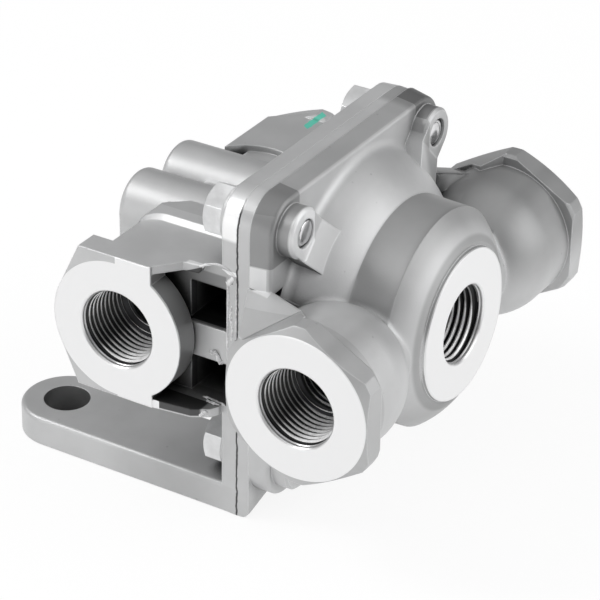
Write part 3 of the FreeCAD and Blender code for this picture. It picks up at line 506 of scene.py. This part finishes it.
outletZones = {
    # painted shade on the drum's band
    "drumBandShade": {"tone": 0.68, "within": [("x", "band", 87.6, 99.8, 0.1),
                                          ("mainAxis", "band", 28.5, 32.0, 0.6)]},
    # painted shade on the raised flange's top
    "raisedRimShade": {"tone": 0.85, "within": [("x", "band", 68.0, 73.5, 0.1), ("z", "over", 91.5)]},
    # painted light on the flange's top strip
    "flangeStripLight": flangeStripLight,
    # painted shade on the raised flange's front and the bosses
    "raisedFrontShade": {"tone": 0.57, "within": [("x", "band", 68.1, 77.5, 0.1),
                                             ("side", "over", 30.0), ("z", "over", 77.5)]},
    # painted light on the raised flange's lower front
    "raisedFootLight": {"tone": 1.35, "within": [("x", "band", 68.1, 74.2, 0.1),
                                            ("side", "over", 43.4),
                                            ("z", "band", 70.5, 77.2, 0.1)]},
    # painted light over the dome
    "domeLight": {"tone": 1.12, "within": [("x", "band", 74.5, 87.5, 0.4),
                                          ("side", "fall", 34.0, 36.0)]},
    # painted shade on the rear outlet's barrel
    "rearOutletShade": {"tone": 0.66, "within": [("y", "rise", 56.0, 60.0), ("z", "rise", 44.0, 58.0)]},
    # painted shadow in a ring round the exhaust face
    "exhaustCollarShade": {"tone": 0.70, "within": [("x", "over", 103.5),
                                               ("mainAxis", "fall", 23.6, 24.8)]},
    # painted shade on the drum's upper shoulder
    "drumShoulderShade": {"tone": 0.80, "within": [("x", "band", 99.2, 103.5, 1.5),
                                              ("z", "rise", 60.0, 78.0)]},
    # painted shade, darker on the drum's lower side
    "drumFootShade": {"tone": 0.80, "within": [("x", "rise", 97.0, 100.0), ("z", "fall", 28.0, 40.0)]},
    # painted shade on the front outlet's hexagon
    "frontHexShade": {"tone": 0.88, "within": [("y", "under", -18.6)]},
    # painted highlight on the rims of the bolt bosses
    "bossRimHighlight": {"tone": 1.45, "within": [("x", "band", 77.9, 78.9, 0.1), ("side", "over", 30.0),
                                         ("z", "over", 77.5)]},
}


def lineDistance(tree, axes, place, across, reach=(0.0, 0.0)):
    # distance from a line through place; with a reach, from the nearest of four such lines
    squares = 0.0
    for index, out in zip(across, reach):
        gap = calc(tree, "SUBTRACT", axes[index], place[index])
        if out:
            gap = calc(tree, "SUBTRACT", calc(tree, "ABSOLUTE", gap), out)
        squares = calc(tree, "MULTIPLY_ADD", gap, gap, squares)
    return calc(tree, "SQRT", squares)


boltHeadRadius = 7.45 * mm


def boltReach():
    # how far the bolts stand from the main axis, along Y and along Z
    low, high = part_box("cover_bolts")
    return [(high[i] - low[i]) / 2 - boltHeadRadius for i in (1, 2)]


def castMeasures(tree, axes):
    slope = calc(tree, "MULTIPLY_ADD", axes[0], deckSlant["rise"], deckSlant["level"])
    return {
        "x": axes[0], "y": axes[1], "z": axes[2],
        "side": calc(tree, "ABSOLUTE", calc(tree, "SUBTRACT", axes[1], axisPlace[1])),
        "mainAxis": lineDistance(tree, axes, axisPlace, (1, 2)),
        "outletAxis": lineDistance(tree, axes, axisPlace, (0, 2)),
        "bracketAxis": lineDistance(tree, axes, mounts["bracket_hole"]["pos_m"], (0, 1)),
        "boltAxis": lineDistance(tree, axes, axisPlace, (1, 2), boltReach()),
        "slant": calc(tree, "SUBTRACT", axes[2], slope),
    }


def limitMask(tree, value, kind, low, high=0.0, soft=0.0):
    low, high, soft = low * mm, high * mm, soft * mm
    if kind == "over":
        return calc(tree, "GREATER_THAN", value, low)
    if kind == "under":
        return calc(tree, "LESS_THAN", value, low)
    if kind == "rise":
        return ramp(tree, value, low, high)
    if kind == "fall":
        return ramp(tree, value, low, high, 1.0, 0.0)
    return calc(tree, "MULTIPLY", ramp(tree, value, low - soft, low + soft),
                ramp(tree, value, high - soft, high + soft, 1.0, 0.0))


def allLimits(tree, measures, limits):
    mask = 1.0
    for name, *limit in limits:
        mask = calc(tree, "MULTIPLY", mask, limitMask(tree, measures[name], *limit))
    return mask


def zoneMask(tree, measures, zone):
    mask = allLimits(tree, measures, zone["within"])
    if "without" in zone:
        mask = without(tree, mask, allLimits(tree, measures, zone["without"]))
    return mask


supplyMaterial = makeHousingMaterial(
    "castSupplyHousing", castFinish, portMounts("inlet_port_front", "inlet_port_rear"),
    blendZones["supply"], supplyZones, paintDab)
outletMaterial = makeHousingMaterial(
    "castOutletHousing", castFinish,
    portMounts("outlet_port_front", "outlet_port_rear", "exhaust_port"),
    blendZones["outlet"], outletZones)
paint(supplyMaterial, "supply_housing")
paint(outletMaterial, "outlet_housing")
print("casting materials made")


# plain metals and rubber; a value that a finish leaves out is the usual one
usualMetal = {"metallic": 1.0, "grain": 0.6 * mm, "wear": 0.12}
metalFinish = {
    "platedSteel": {"color": (1.0, 1.0, 1.0), "roughness": 0.42, "metallic": 0.60, "wear": 0.02},
    "springWire": {"color": (0.34, 0.35, 0.37), "roughness": 0.35},
    "turnedBrass": {"color": (0.74, 0.52, 0.22), "roughness": 0.32},
    "sealRubber": {"color": (0.022, 0.022, 0.024), "roughness": 0.72, "metallic": 0.0,
                   "wear": 0.2},
    "turnedMetal": {"color": (0.84, 0.845, 0.85), "roughness": 0.30},
    "threadLead": {"color": (0.70, 0.70, 0.705), "roughness": 0.3, "metallic": 0.6, "wear": 0.05},
    "burrMetal": {"color": (0.98, 0.98, 0.985), "roughness": 0.30, "metallic": 0.4, "wear": 0.1},
    "polishedTip": {"color": (0.80, 0.80, 0.81), "roughness": 0.13, "grain": 0.9 * mm,
                    "wear": 0.25},
}
metalSkin = {
    "edgeRadius": 0.2 * mm,
    "mottlePerGrain": 12,
    "mottleRange": (0.3, 0.7),
    "roughSpread": (-0.05, 0.08),
    "bumpStrength": 0.4,
    "bumpDepth": 0.01 * mm,
}


def makeMetal(name, look, skinLook):
    look = {**usualMetal, **look}
    material, tree, shader = newMaterial(name, look["color"], look["roughness"], look["metallic"])
    coords = addNode(tree, "TexCoord").outputs["Object"]
    mottleSize = look["grain"] * skinLook["mottlePerGrain"]
    skin = useGroup(tree, castSkin, Vector=coords, **{"Grain Size": look["grain"],
                                                     "Mottle Size": mottleSize})
    edge = useGroup(tree, softEdge, Radius=skinLook["edgeRadius"])
    dark = tuple(c * (1.0 - look["wear"] * 2) for c in look["color"])
    color = mixColor(tree, ramp(tree, skin["Mottle"], *skinLook["mottleRange"]), (*dark, 1),
                     (*look["color"], 1))
    low, high = skinLook["roughSpread"]
    rough = mixValue(tree, skin["Mottle"], look["roughness"] + low, look["roughness"] + high)
    bump = addNode(tree, "Bump", {"Strength": skinLook["bumpStrength"],
                                  "Distance": skinLook["bumpDepth"],
                                  "Height": skin["Height"], "Normal": edge["Normal"]})
    tree.links.new(color, shader.inputs["Base Color"])
    tree.links.new(rough, shader.inputs["Roughness"])
    tree.links.new(bump.outputs[0], shader.inputs["Normal"])
    return material


metals = {name: makeMetal(name, look, metalSkin) for name, look in metalFinish.items()}
finishOf = {"plated_steel": "platedSteel", "spring_steel": "springWire", "brass": "turnedBrass",
            "rubber": "sealRubber", "machined_aluminium": "turnedMetal"}
# open fault: the record's key is material_slot, so no slot is found here and every node but the
# castings gets turnedMetal
slotOf = {part["node"]: part.get("material") or part.get("slot")
          for part in frame["record"]["subparts"]}
for name in cad:
    if name not in ("supply_housing", "outlet_housing"):
        paint(metals[finishOf.get(slotOf.get(name), "turnedMetal")], name)
print("other finishes made")


# small helpers for meshes
def smooth(value):
    value = min(1.0, max(0.0, value))
    return value * value * (3.0 - 2.0 * value)


def makePiece(name, mesh, *materials):
    bmesh.ops.recalc_face_normals(mesh, faces=mesh.faces)
    data = bpy.data.meshes.new(name)
    mesh.to_mesh(data)
    mesh.free()
    piece = bpy.data.objects.new(name, data)
    bpy.context.scene.collection.objects.link(piece)
    for material in materials:
        data.materials.append(material)
    return piece


def linkPiece(name, mesh, material, rounded=True):
    piece = makePiece(name, mesh, material)
    for face in piece.data.polygons:
        face.use_smooth = rounded
    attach(piece, "housing")


def bridgeRows(mesh, rows, capped=True):
    # walls between rings of points, and a cap on each end
    walls = []
    for first, second in zip(rows, rows[1:]):
        for k in range(len(first)):
            n = (k + 1) % len(first)
            walls.append(mesh.faces.new((first[k], first[n], second[n], second[k])))
    if capped:
        mesh.faces.new(rows[0])
        mesh.faces.new(list(reversed(rows[-1])))
    return walls


def routePoint(route, t):
    # smooth curve through the route's points
    last = len(route) - 1
    place = min(t * last, last - 1e-6)
    k = int(place)
    f = place - k
    a, b, c, d = (Vector(route[min(max(k + j, 0), last)]) for j in (-1, 0, 1, 2))
    return 0.5 * ((2 * b) + (c - a) * f + (2 * a - 5 * b + 4 * c - d) * f * f
                  + (3 * b - a - 3 * c + d) * f * f * f)


def routeAlong(route, t, step=0.01):
    return (routePoint(route, min(1.0, t + step))
            - routePoint(route, max(0.0, t - step))).normalized()


# port threads: one cut ridge that follows the bore, the drill cone and the passage behind it
threadFinish = {
    "crestColor": (1.0, 1.0, 1.0),
    # painted shade: the thread's roots and lower flanks nearly black
    "rootShadeColor": (0.018, 0.018, 0.019),
    "roughness": 0.36,
    "roughSpread": (-0.05, 0.12),
    "metallic": 0.35,
    "litSide": (0.45, -0.89),     # where light from above reaches the flanks
    "litRange": (0.25, 0.62),
    "topSide": (-0.50, 0.87),
    "topRange": (0.1, 0.8),
    "dimTone": 0.36,
    "chatterScale": 700.0,
    "chatterDetail": 2.0,
    "chatterRange": (0.25, 0.5),
    "chatterTone": 0.80,
}
portThread = {
    "pitch": 1.81 * mm,
    "boreRadius": 11.03 * mm,
    "boreDepth": {"inlet": 15.5 * mm, "outlet": 15.5 * mm, "exhaust": 13.5 * mm},
    "passage": {"inlet_port_front": 7.4 * mm, "inlet_port_rear": 10.0 * mm,
                "outlet_port_front": 8.5 * mm, "outlet_port_rear": 8.5 * mm,
                "exhaust_port": 8.4 * mm},
    "end": {"inlet_port_front": 25.0 * mm, "inlet_port_rear": 16.2 * mm,
            "outlet_port_front": 24.0 * mm, "outlet_port_rear": 24.0 * mm,
            "exhaust_port": 15.0 * mm},
    "passageGap": 0.02 * mm,
    "cone": 0.6,
    "height": 0.86 * mm,
    "deepHeight": 0.55 * mm,
    "crestWidth": 0.26 * mm,
    "rootWidth": 1.56 * mm,
    "bladeSide": (0.45, -0.89),   # the flanks lean further out on this side
    "bladeRange": (0.40, 0.92),
    "bladeShare": (0.22, 0.60),
    "stepsPerTurn": 72,
    "fadeTurns": 0.45,
    "leastHeight": 0.02,
    "mouthGap": 0.45 * mm,
    "lead": ((11.44, 0.03), (10.75, 0.95), (11.03, 1.30), (11.20, 0.60)),
    "leadSteps": 96,
}


def makeThreadMetal(name, color, look):
    material, tree, shader = newMaterial(name, color, look["roughness"], look["metallic"])
    coords = addNode(tree, "TexCoord").outputs["Object"]
    parts = addNode(tree, "SeparateXYZ", {"Vector": coords}).outputs
    flat = addNode(tree, "CombineXYZ", {"X": parts[0], "Y": parts[1]})
    way = addNode(tree, "VectorMath", {0: flat.outputs[0]}, operation="NORMALIZE").outputs[0]
    # painted light and shade: flanks facing litSide or topSide keep their colour, the others are
    # dimmed to dimTone
    lit = 0.0
    for side in ("lit", "top"):
        reach = addNode(tree, "VectorMath", {0: way, 1: (*look[side + "Side"], 0.0)},
                        operation="DOT_PRODUCT").outputs["Value"]
        lit = calc(tree, "MAXIMUM", lit, ramp(tree, reach, *look[side + "Range"]))
    chatter = addNode(tree, "TexNoise", {"Vector": coords, "Scale": look["chatterScale"],
                                         "Detail": look["chatterDetail"]}).outputs[0]
    tone = calc(tree, "MULTIPLY", ramp(tree, lit, 0.0, 1.0, look["dimTone"], 1.0),
                ramp(tree, chatter, *look["chatterRange"], look["chatterTone"], 1.0))
    low, spread = look["roughSpread"]
    rough = calc(tree, "ADD", look["roughness"] + low, calc(tree, "MULTIPLY", chatter, spread))
    tree.links.new(mixColor(tree, 1.0, (*color, 1), tone, "MULTIPLY"),
                   shader.inputs["Base Color"])
    tree.links.new(rough, shader.inputs["Roughness"])
    return material


threadCrest = makeThreadMetal("threadCrest", threadFinish["crestColor"], threadFinish)
# painted shade on the thread's roots and lower flanks
threadRootShade = makeThreadMetal("threadRootShade", threadFinish["rootShadeColor"], threadFinish)


def threadRoute(name, form):
    # radius and depth of the wall from the mouth inward, as straight stretches
    bore, passage = form["boreRadius"], form["passage"][name]
    depth = form["boreDepth"][name.split("_")[0]]
    coneEnd = depth + (bore - passage) * form["cone"]
    return [(bore, form["mouthGap"]), (bore, depth), (passage + form["passageGap"], coneEnd),
            (passage + form["passageGap"], form["end"][name])]


def onRoute(route, reach):
    # radius, depth and the wall's normal at a distance along the route
    for start, end in zip(route, route[1:]):
        run = math.hypot(end[0] - start[0], end[1] - start[1])
        if reach <= run or end is route[-1]:
            break
        reach -= run
    t = min(1.0, reach / run)
    radius = start[0] + (end[0] - start[0]) * t
    depth = start[1] + (end[1] - start[1]) * t
    return radius, depth, ((start[1] - end[1]) / run, (end[0] - start[0]) / run)


def setOnPort(piece, mount):
    axis = Vector(mount["axis"])
    mouth = Vector(mount["pos_m"]) + axis * mount["dims"]["length_mm"] * mm / 2
    piece.matrix_world = (Matrix.Translation(mouth)
                          @ axis.to_track_quat("Z", "Y").to_matrix().to_4x4())


def makeThread(name, mount, form):
    # built about its own Z from the mouth inward, then set on the port's axis
    route = threadRoute(mount["name"], form)
    length = sum(math.hypot(b[0] - a[0], b[1] - a[1]) for a, b in zip(route, route[1:]))
    root, crest = form["rootWidth"] / 2, form["crestWidth"] / 2
    turns = (length - 2 * root) / form["pitch"]
    boreTurns = (route[1][1] - route[0][1]) / form["pitch"]
    low, high = form["bladeRange"]
    leastShare, mostShare = form["bladeShare"]
    mesh = bmesh.new()
    rows = []
    for i in range(int(turns * form["stepsPerTurn"]) + 1):
        turn = i / form["stepsPerTurn"]
        fade = min(1.0, turn / form["fadeTurns"], (turns - turn) / form["fadeTurns"])
        deep = smooth(turn - boreTurns + 0.5)
        height = ((form["height"] + (form["deepHeight"] - form["height"]) * deep)
                  * max(fade, form["leastHeight"]))
        angle = 2 * math.pi * turn
        out = Vector((math.cos(angle), math.sin(angle), 0.0))
        lit = out.x * form["bladeSide"][0] + out.y * form["bladeSide"][1]
        share = leastShare + (mostShare - leastShare) * smooth((lit - low) / (high - low))
        radius, depth, lean = onRoute(route, root + turn * form["pitch"])
        wall = out * radius - Vector((0.0, 0.0, depth))
        rise = out * lean[0] - Vector((0.0, 0.0, lean[1]))
        along = out * -lean[1] - Vector((0.0, 0.0, -lean[0]))
        edge = crest + (root - crest) * share
        profile = [(-root, 0.0), (-edge, 1.0 - share), (-crest, 1.0), (crest, 1.0),
                   (edge, 1.0 - share), (root, 0.0)]
        rows.append([mesh.verts.new(wall + along * a + rise * (height * h))
                     for a, h in profile])
    for index, face in enumerate(bridgeRows(mesh, rows)):
        face.material_index = 0 if index % len(profile) in (1, 2, 3) else 1
    thread = makePiece(name, mesh, threadCrest, threadRootShade)
    setOnPort(thread, mount)
    return thread


def makeLead(name, mount, form):
    # turned countersink at the mouth that leads a fitting into the thread
    mesh = bmesh.new()
    rows = []
    for i in range(form["leadSteps"]):
        angle = 2 * math.pi * i / form["leadSteps"]
        rows.append([mesh.verts.new((r * mm * math.cos(angle), r * mm * math.sin(angle), -d * mm))
                     for r, d in form["lead"]])
    bridgeRows(mesh, rows + rows[:1], capped=False)
    lead = makePiece(name, mesh, metals["threadLead"])
    setOnPort(lead, mount)
    return lead


for port in threadedPorts:
    for piece in (makeThread("thread_" + port["name"], port, portThread),
                  makeLead("lead_" + port["name"], port, portThread)):
        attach(piece, "housing")
print("port threads cut:", len(threadedPorts))


# lip of the front deck where it arches over the ear beside the flange
earArch = {
    # x and z of its lower edge
    "edge": ((52.3, 72.0), (53.2, 72.5), (55.0, 73.35), (57.1, 74.05), (58.9, 74.3),
             (60.7, 74.1), (62.1, 73.45), (63.2, 72.5), (63.9, 71.4)),
    "rise": 0.75,
    "riseStart": (3.0, 0.15),
    "front": -13.08,
    "frontRound": (0.05, -0.04, 0.12),    # low edge, middle and high edge of its front
    "topDepth": 0.8,
    "deck": 72.75,
    "deckBack": (-12.4, -9.2),
    "deckSpread": 2.2,
    "steps": 48,
}


def makeEarArch(form):
    mesh = bmesh.new()
    rows = []
    front = form["front"]
    lowIn, middleIn, highIn = form["frontRound"]
    grow, start = form["riseStart"]
    edge = [(x, 0.0, z) for x, z in form["edge"]]
    for i in range(form["steps"] + 1):
        t = i / form["steps"]
        low = routePoint(edge, t)
        along = routeAlong(edge, t)
        high = low + Vector((-along.z, 0.0, along.x)) * (form["rise"] * smooth(t * grow + start))
        nearBack, farBack = form["deckBack"]
        back = nearBack + (farBack - nearBack) * smooth(t * form["deckSpread"])
        deck = min(form["deck"], high.z) - 0.1
        rows.append([mesh.verts.new(Vector(v) * mm) for v in (
            (low.x, front + lowIn, low.z),
            (low.x * 0.5 + high.x * 0.5, front + middleIn, low.z * 0.5 + high.z * 0.5),
            (high.x, front + highIn, high.z), (high.x, front + form["topDepth"], high.z - 0.05),
            (high.x, (front + back) / 2 + 0.4, (high.z + deck) / 2 + 0.15),
            (high.x, back, deck), (low.x, back - 0.2, min(low.z, deck) - 0.2))])
    bridgeRows(mesh, rows)
    linkPiece("deck_lip_arch", mesh, supplyMaterial)


makeEarArch(earArch)


# flash and burrs that the parting line left: ragged strips along short routes
castFlash = {
    "parting_flash_edge": {"route": ((64.1, -13.0, 71.0), (64.1, -13.0, 62.0),
                                     (64.1, -13.0, 52.0), (64.1, -13.0, 43.0),
                                     (64.1, -13.0, 33.0)),
                           "width": 0.30, "height": 0.40, "ragged": 0.75, "seed": 3},
    "parting_flash_inner": {"route": ((61.6, -13.0, 70.4), (61.5, -13.0, 62.0),
                                      (61.3, -13.0, 54.0), (61.5, -13.0, 44.0),
                                      (61.2, -13.0, 34.0)),
                            "width": 0.32, "height": 0.36, "ragged": 0.85, "seed": 8},
    "parting_flash_beads": {"route": ((62.7, -13.0, 64.0), (62.3, -13.0, 60.5),
                                      (62.9, -13.0, 57.5), (62.5, -13.0, 53.5)),
                            "width": 0.42, "height": 0.42, "ragged": 0.9, "seed": 21},
    "corner_flash": {"route": ((61.3, -12.95, 69.6), (62.2, -13.0, 70.9),
                               (63.3, -12.95, 72.3)),
                     "width": 0.85, "height": 0.24, "ragged": 0.3, "seed": 4},
    "rib_burr": {"route": ((56.2, -12.9, 48.8), (56.7, -13.0, 47.9), (57.8, -13.1, 48.6),
                           (58.5, -13.1, 47.3), (59.1, -13.0, 45.7), (59.8, -12.9, 46.3)),
                 "width": 0.55, "height": 0.70, "ragged": 0.45, "seed": 5},
    "window_burr_upper": {"route": ((53.3, -12.4, 33.3), (55.3, -12.3, 33.4),
                                    (58.4, -12.7, 33.35), (60.6, -12.9, 33.3)),
                          "width": 0.30, "height": 0.30, "ragged": 0.3, "seed": 11},
    "window_burr_lower": {"route": ((55.1, -13.4, 33.3), (57.2, -13.9, 33.4),
                                    (59.4, -13.7, 33.3)),
                          "width": 0.40, "height": 0.36, "ragged": 0.3, "seed": 12},
    "lip_chip": {"route": ((56.0, -18.1, 31.0), (56.5, -17.8, 31.9), (57.2, -17.4, 32.3),
                           (57.7, -17.1, 31.6)),
                 "width": 0.45, "height": 0.5, "ragged": 0.4, "seed": 17},
}


flashForm = {
    "stepLength": 0.35,
    "fewestSteps": 14,
    "fade": 8.0,
    "leastSize": 0.02,
    "widthSpread": (0.6, 0.8),
    "endWidth": 0.3,
    "sink": 0.15,
}


def makeFlash(name, form, strip):
    dice = random.Random(form["seed"])
    route = [Vector(p) for p in form["route"]]
    length = sum((b - a).length for a, b in zip(route, route[1:]))
    steps = max(strip["fewestSteps"], int(length / strip["stepLength"]))
    narrow, spread = strip["widthSpread"]
    mesh = bmesh.new()
    rows = []
    for i in range(steps + 1):
        t = i / steps
        middle, along = routePoint(route, t), routeAlong(route, t)
        out = Vector((0.0, -1.0, 0.0))
        across = along.cross(out).normalized()
        out = across.cross(along).normalized()
        if out.y > 0:
            out = -out
        fade = smooth(min(t, 1.0 - t) * strip["fade"])
        size = (1.0 - form["ragged"] * dice.random()) * fade + strip["leastSize"]
        wide = (form["width"] * (narrow + spread * dice.random())
                * (strip["endWidth"] + (1.0 - strip["endWidth"]) * fade))
        sway = across * form["width"] * (dice.random() - 0.5)
        crest = middle + out * form["height"] * size + sway
        rows.append([mesh.verts.new(v * mm) for v in (
            middle + across * wide - out * strip["sink"],
            middle + across * wide * 0.5 + out * 0.1 * size,
            crest + across * wide * 0.25, crest - across * wide * 0.25,
            middle - across * wide * 0.6 + out * 0.05 * size,
            middle - across * wide - out * strip["sink"])])
    bridgeRows(mesh, rows)
    linkPiece(name, mesh, metals["burrMetal"], rounded=False)


for name, form in castFlash.items():
    makeFlash(name, form, flashForm)
print("lip arch, flash and burrs modelled:", len(castFlash) + 1)


# cast fillet that fills the corner between the rear web and the outlet's barrel
webFillet = {
    "top": ((74.2, 73.8, 68.1), (76.3, 74.7, 68.4), (78.4, 75.6, 68.55), (80.1, 76.6, 68.5),
            (81.8, 77.4, 68.6), (82.9, 77.6, 68.9)),
    "foot": ((74.6, 70.6, 65.9), (77.6, 68.4, 65.3), (79.9, 68.4, 66.4), (81.3, 71.0, 67.6),
             (82.6, 72.9, 68.5), (83.9, 75.2, 69.3)),
    "sag": 0.25,
    "back": (-0.1, 0.2, -1.2),
    "steps": 28,
    "rows": 9,
}


def makeFillet(name, form, material):
    mesh = bmesh.new()
    rings = []
    for i in range(form["steps"] + 1):
        t = i / form["steps"]
        top, foot = routePoint(form["top"], t), routePoint(form["foot"], t)
        outer = []
        for k in range(form["rows"]):
            share = k / (form["rows"] - 1)
            point = top.lerp(foot, share)
            point.z -= form["sag"] * math.sin(math.pi * share)
            outer.append(point)
        back = [p + Vector(form["back"]) for p in reversed(outer)]
        rings.append([mesh.verts.new(p * mm) for p in outer + back])
    bridgeRows(mesh, rings)
    linkPiece(name, mesh, material)


makeFillet("rear_web_fillet", webFillet, outletMaterial)
print("rear web filled in")


# polished crowned ends of the four bolts, seen in their bosses
boltTip = {
    "radius": 3.25 * mm,
    "crown": 0.50 * mm,
    "sink": 0.02 * mm,
    "closing": 0.96,     # how far towards its middle the last ring goes
    "steps": 48,
    "rings": 7,
}


def boltPlaces():
    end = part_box("cover_bolts")[1][0]
    reach = boltReach()
    for sy in (-1, 1):
        for sz in (-1, 1):
            yield end, axisPlace[1] + sy * reach[0], axisPlace[2] + sz * reach[1]


def makeBoltTip(name, place, form):
    mesh = bmesh.new()
    rows = []
    angles = [2 * math.pi * i / form["steps"] for i in range(form["steps"])]
    for ring in range(form["rings"]):
        quarter = ring / (form["rings"] - 1) * math.pi / 2
        radius = form["radius"] * math.cos(quarter * form["closing"])
        rise = form["crown"] * math.sin(quarter) - form["sink"]
        rows.append([mesh.verts.new((place[0] + rise, place[1] + radius * math.cos(a),
                                     place[2] + radius * math.sin(a))) for a in angles])
    bridgeRows(mesh, rows)
    linkPiece(name, mesh, metals["polishedTip"])


for number, place in enumerate(boltPlaces(), 1):
    makeBoltTip("bolt_tip_" + str(number), place, boltTip)
print("bolt tips crowned")


# floor, sky and lamps
studio = {
    "floorSize": 12.0,
    "floorPlace": (0.05, 0.03, -0.0002),
    "floorRoughness": 0.9,
    "floorColor": (0.96, 0.96, 0.96),
    "floorGlow": 0.86,
    "floorWhite": 1.03,
    "skyFoot": (0.70, 0.70, 0.70, 1.0),
    "skyBand": (0.22, 0.22, 0.224, 1.0),
    "skyTop": (0.75, 0.75, 0.75, 1.0),
    "bandFrom": (-0.05, 0.16),
    "bandTo": (0.50, 0.85),
    "skyLight": 0.95,
}


def seenBy(tree, *kinds):
    rays = addNode(tree, "LightPath")
    seen = 0.0
    for kind in kinds:
        seen = calc(tree, "MAXIMUM", seen, rays.outputs["Is " + kind + " Ray"])
    return seen


def mixShaders(tree, share, first, second, end):
    mix = addNode(tree, "MixShader", {0: share})
    tree.links.new(first.outputs[0], mix.inputs[1])
    tree.links.new(second.outputs[0], mix.inputs[2])
    tree.links.new(mix.outputs[0], tree.nodes[end].inputs[0])


def makeFloor(values):
    mesh = bmesh.new()
    bmesh.ops.create_grid(mesh, x_segments=8, y_segments=8, size=values["floorSize"] / 2)
    material, tree, shader = newMaterial("floorWhite", values["floorColor"],
                                         values["floorRoughness"])
    floor = makePiece("studioFloor", mesh, material)
    floor.location = values["floorPlace"]
    glow = addNode(tree, "Emission", {"Color": (1, 1, 1, 1), "Strength": values["floorWhite"]})
    share = calc(tree, "MULTIPLY", seenBy(tree, "Camera", "Transmission", "Glossy"),
                 values["floorGlow"])
    mixShaders(tree, share, shader, glow, "Material Output")


def makeSky(values):
    world = bpy.data.worlds.new("studioSky")
    bpy.context.scene.world = world
    world.use_nodes = True
    tree = world.node_tree
    sky = tree.nodes["Background"]
    direction = addNode(tree, "TexCoord").outputs["Generated"]
    height = addNode(tree, "SeparateXYZ", {"Vector": direction}).outputs["Z"]
    rise = ramp(tree, height, *values["bandFrom"])
    color = mixColor(tree, rise, values["skyFoot"], values["skyBand"])
    color = mixColor(tree, ramp(tree, height, *values["bandTo"]), color, values["skyTop"])
    tree.links.new(color, sky.inputs["Color"])
    sky.inputs["Strength"].default_value = values["skyLight"]
    white = addNode(tree, "Background", {"Color": (1, 1, 1, 1), "Strength": 1.0})
    mixShaders(tree, seenBy(tree, "Camera", "Transmission"), sky, white, "World Output")


lamps = {
    "rightKey": {"from": (1.15, 0.40, 0.58), "size": (1.2, 1.0), "power": 6.8},
    "frontFill": {"from": (-0.45, -1.2, 0.30), "size": (0.8, 0.6), "power": 2.4},
    "leftTop": {"from": (-0.80, -0.45, 0.95), "size": (0.5, 0.5), "power": 6.0},
}


def makeLamp(name, values, aim):
    data = bpy.data.lights.new(name, "AREA")
    data.shape = "RECTANGLE"
    data.size, data.size_y = values["size"]
    data.energy = values["power"]
    lamp = bpy.data.objects.new(name, data)
    place = Vector(values["from"])
    lamp.location = place
    lamp.rotation_mode = "QUATERNION"
    lamp.rotation_quaternion = (aim - place).to_track_quat("-Z", "Y")
    bpy.context.scene.collection.objects.link(lamp)


makeFloor(studio)
makeSky(studio)
objectMiddle = (cadBox[0] + cadBox[1]) / 2
for name, values in lamps.items():
    makeLamp(name, values, objectMiddle)
bpy.context.scene.view_settings.view_transform = "Standard"
print("floor, sky and lamps set")
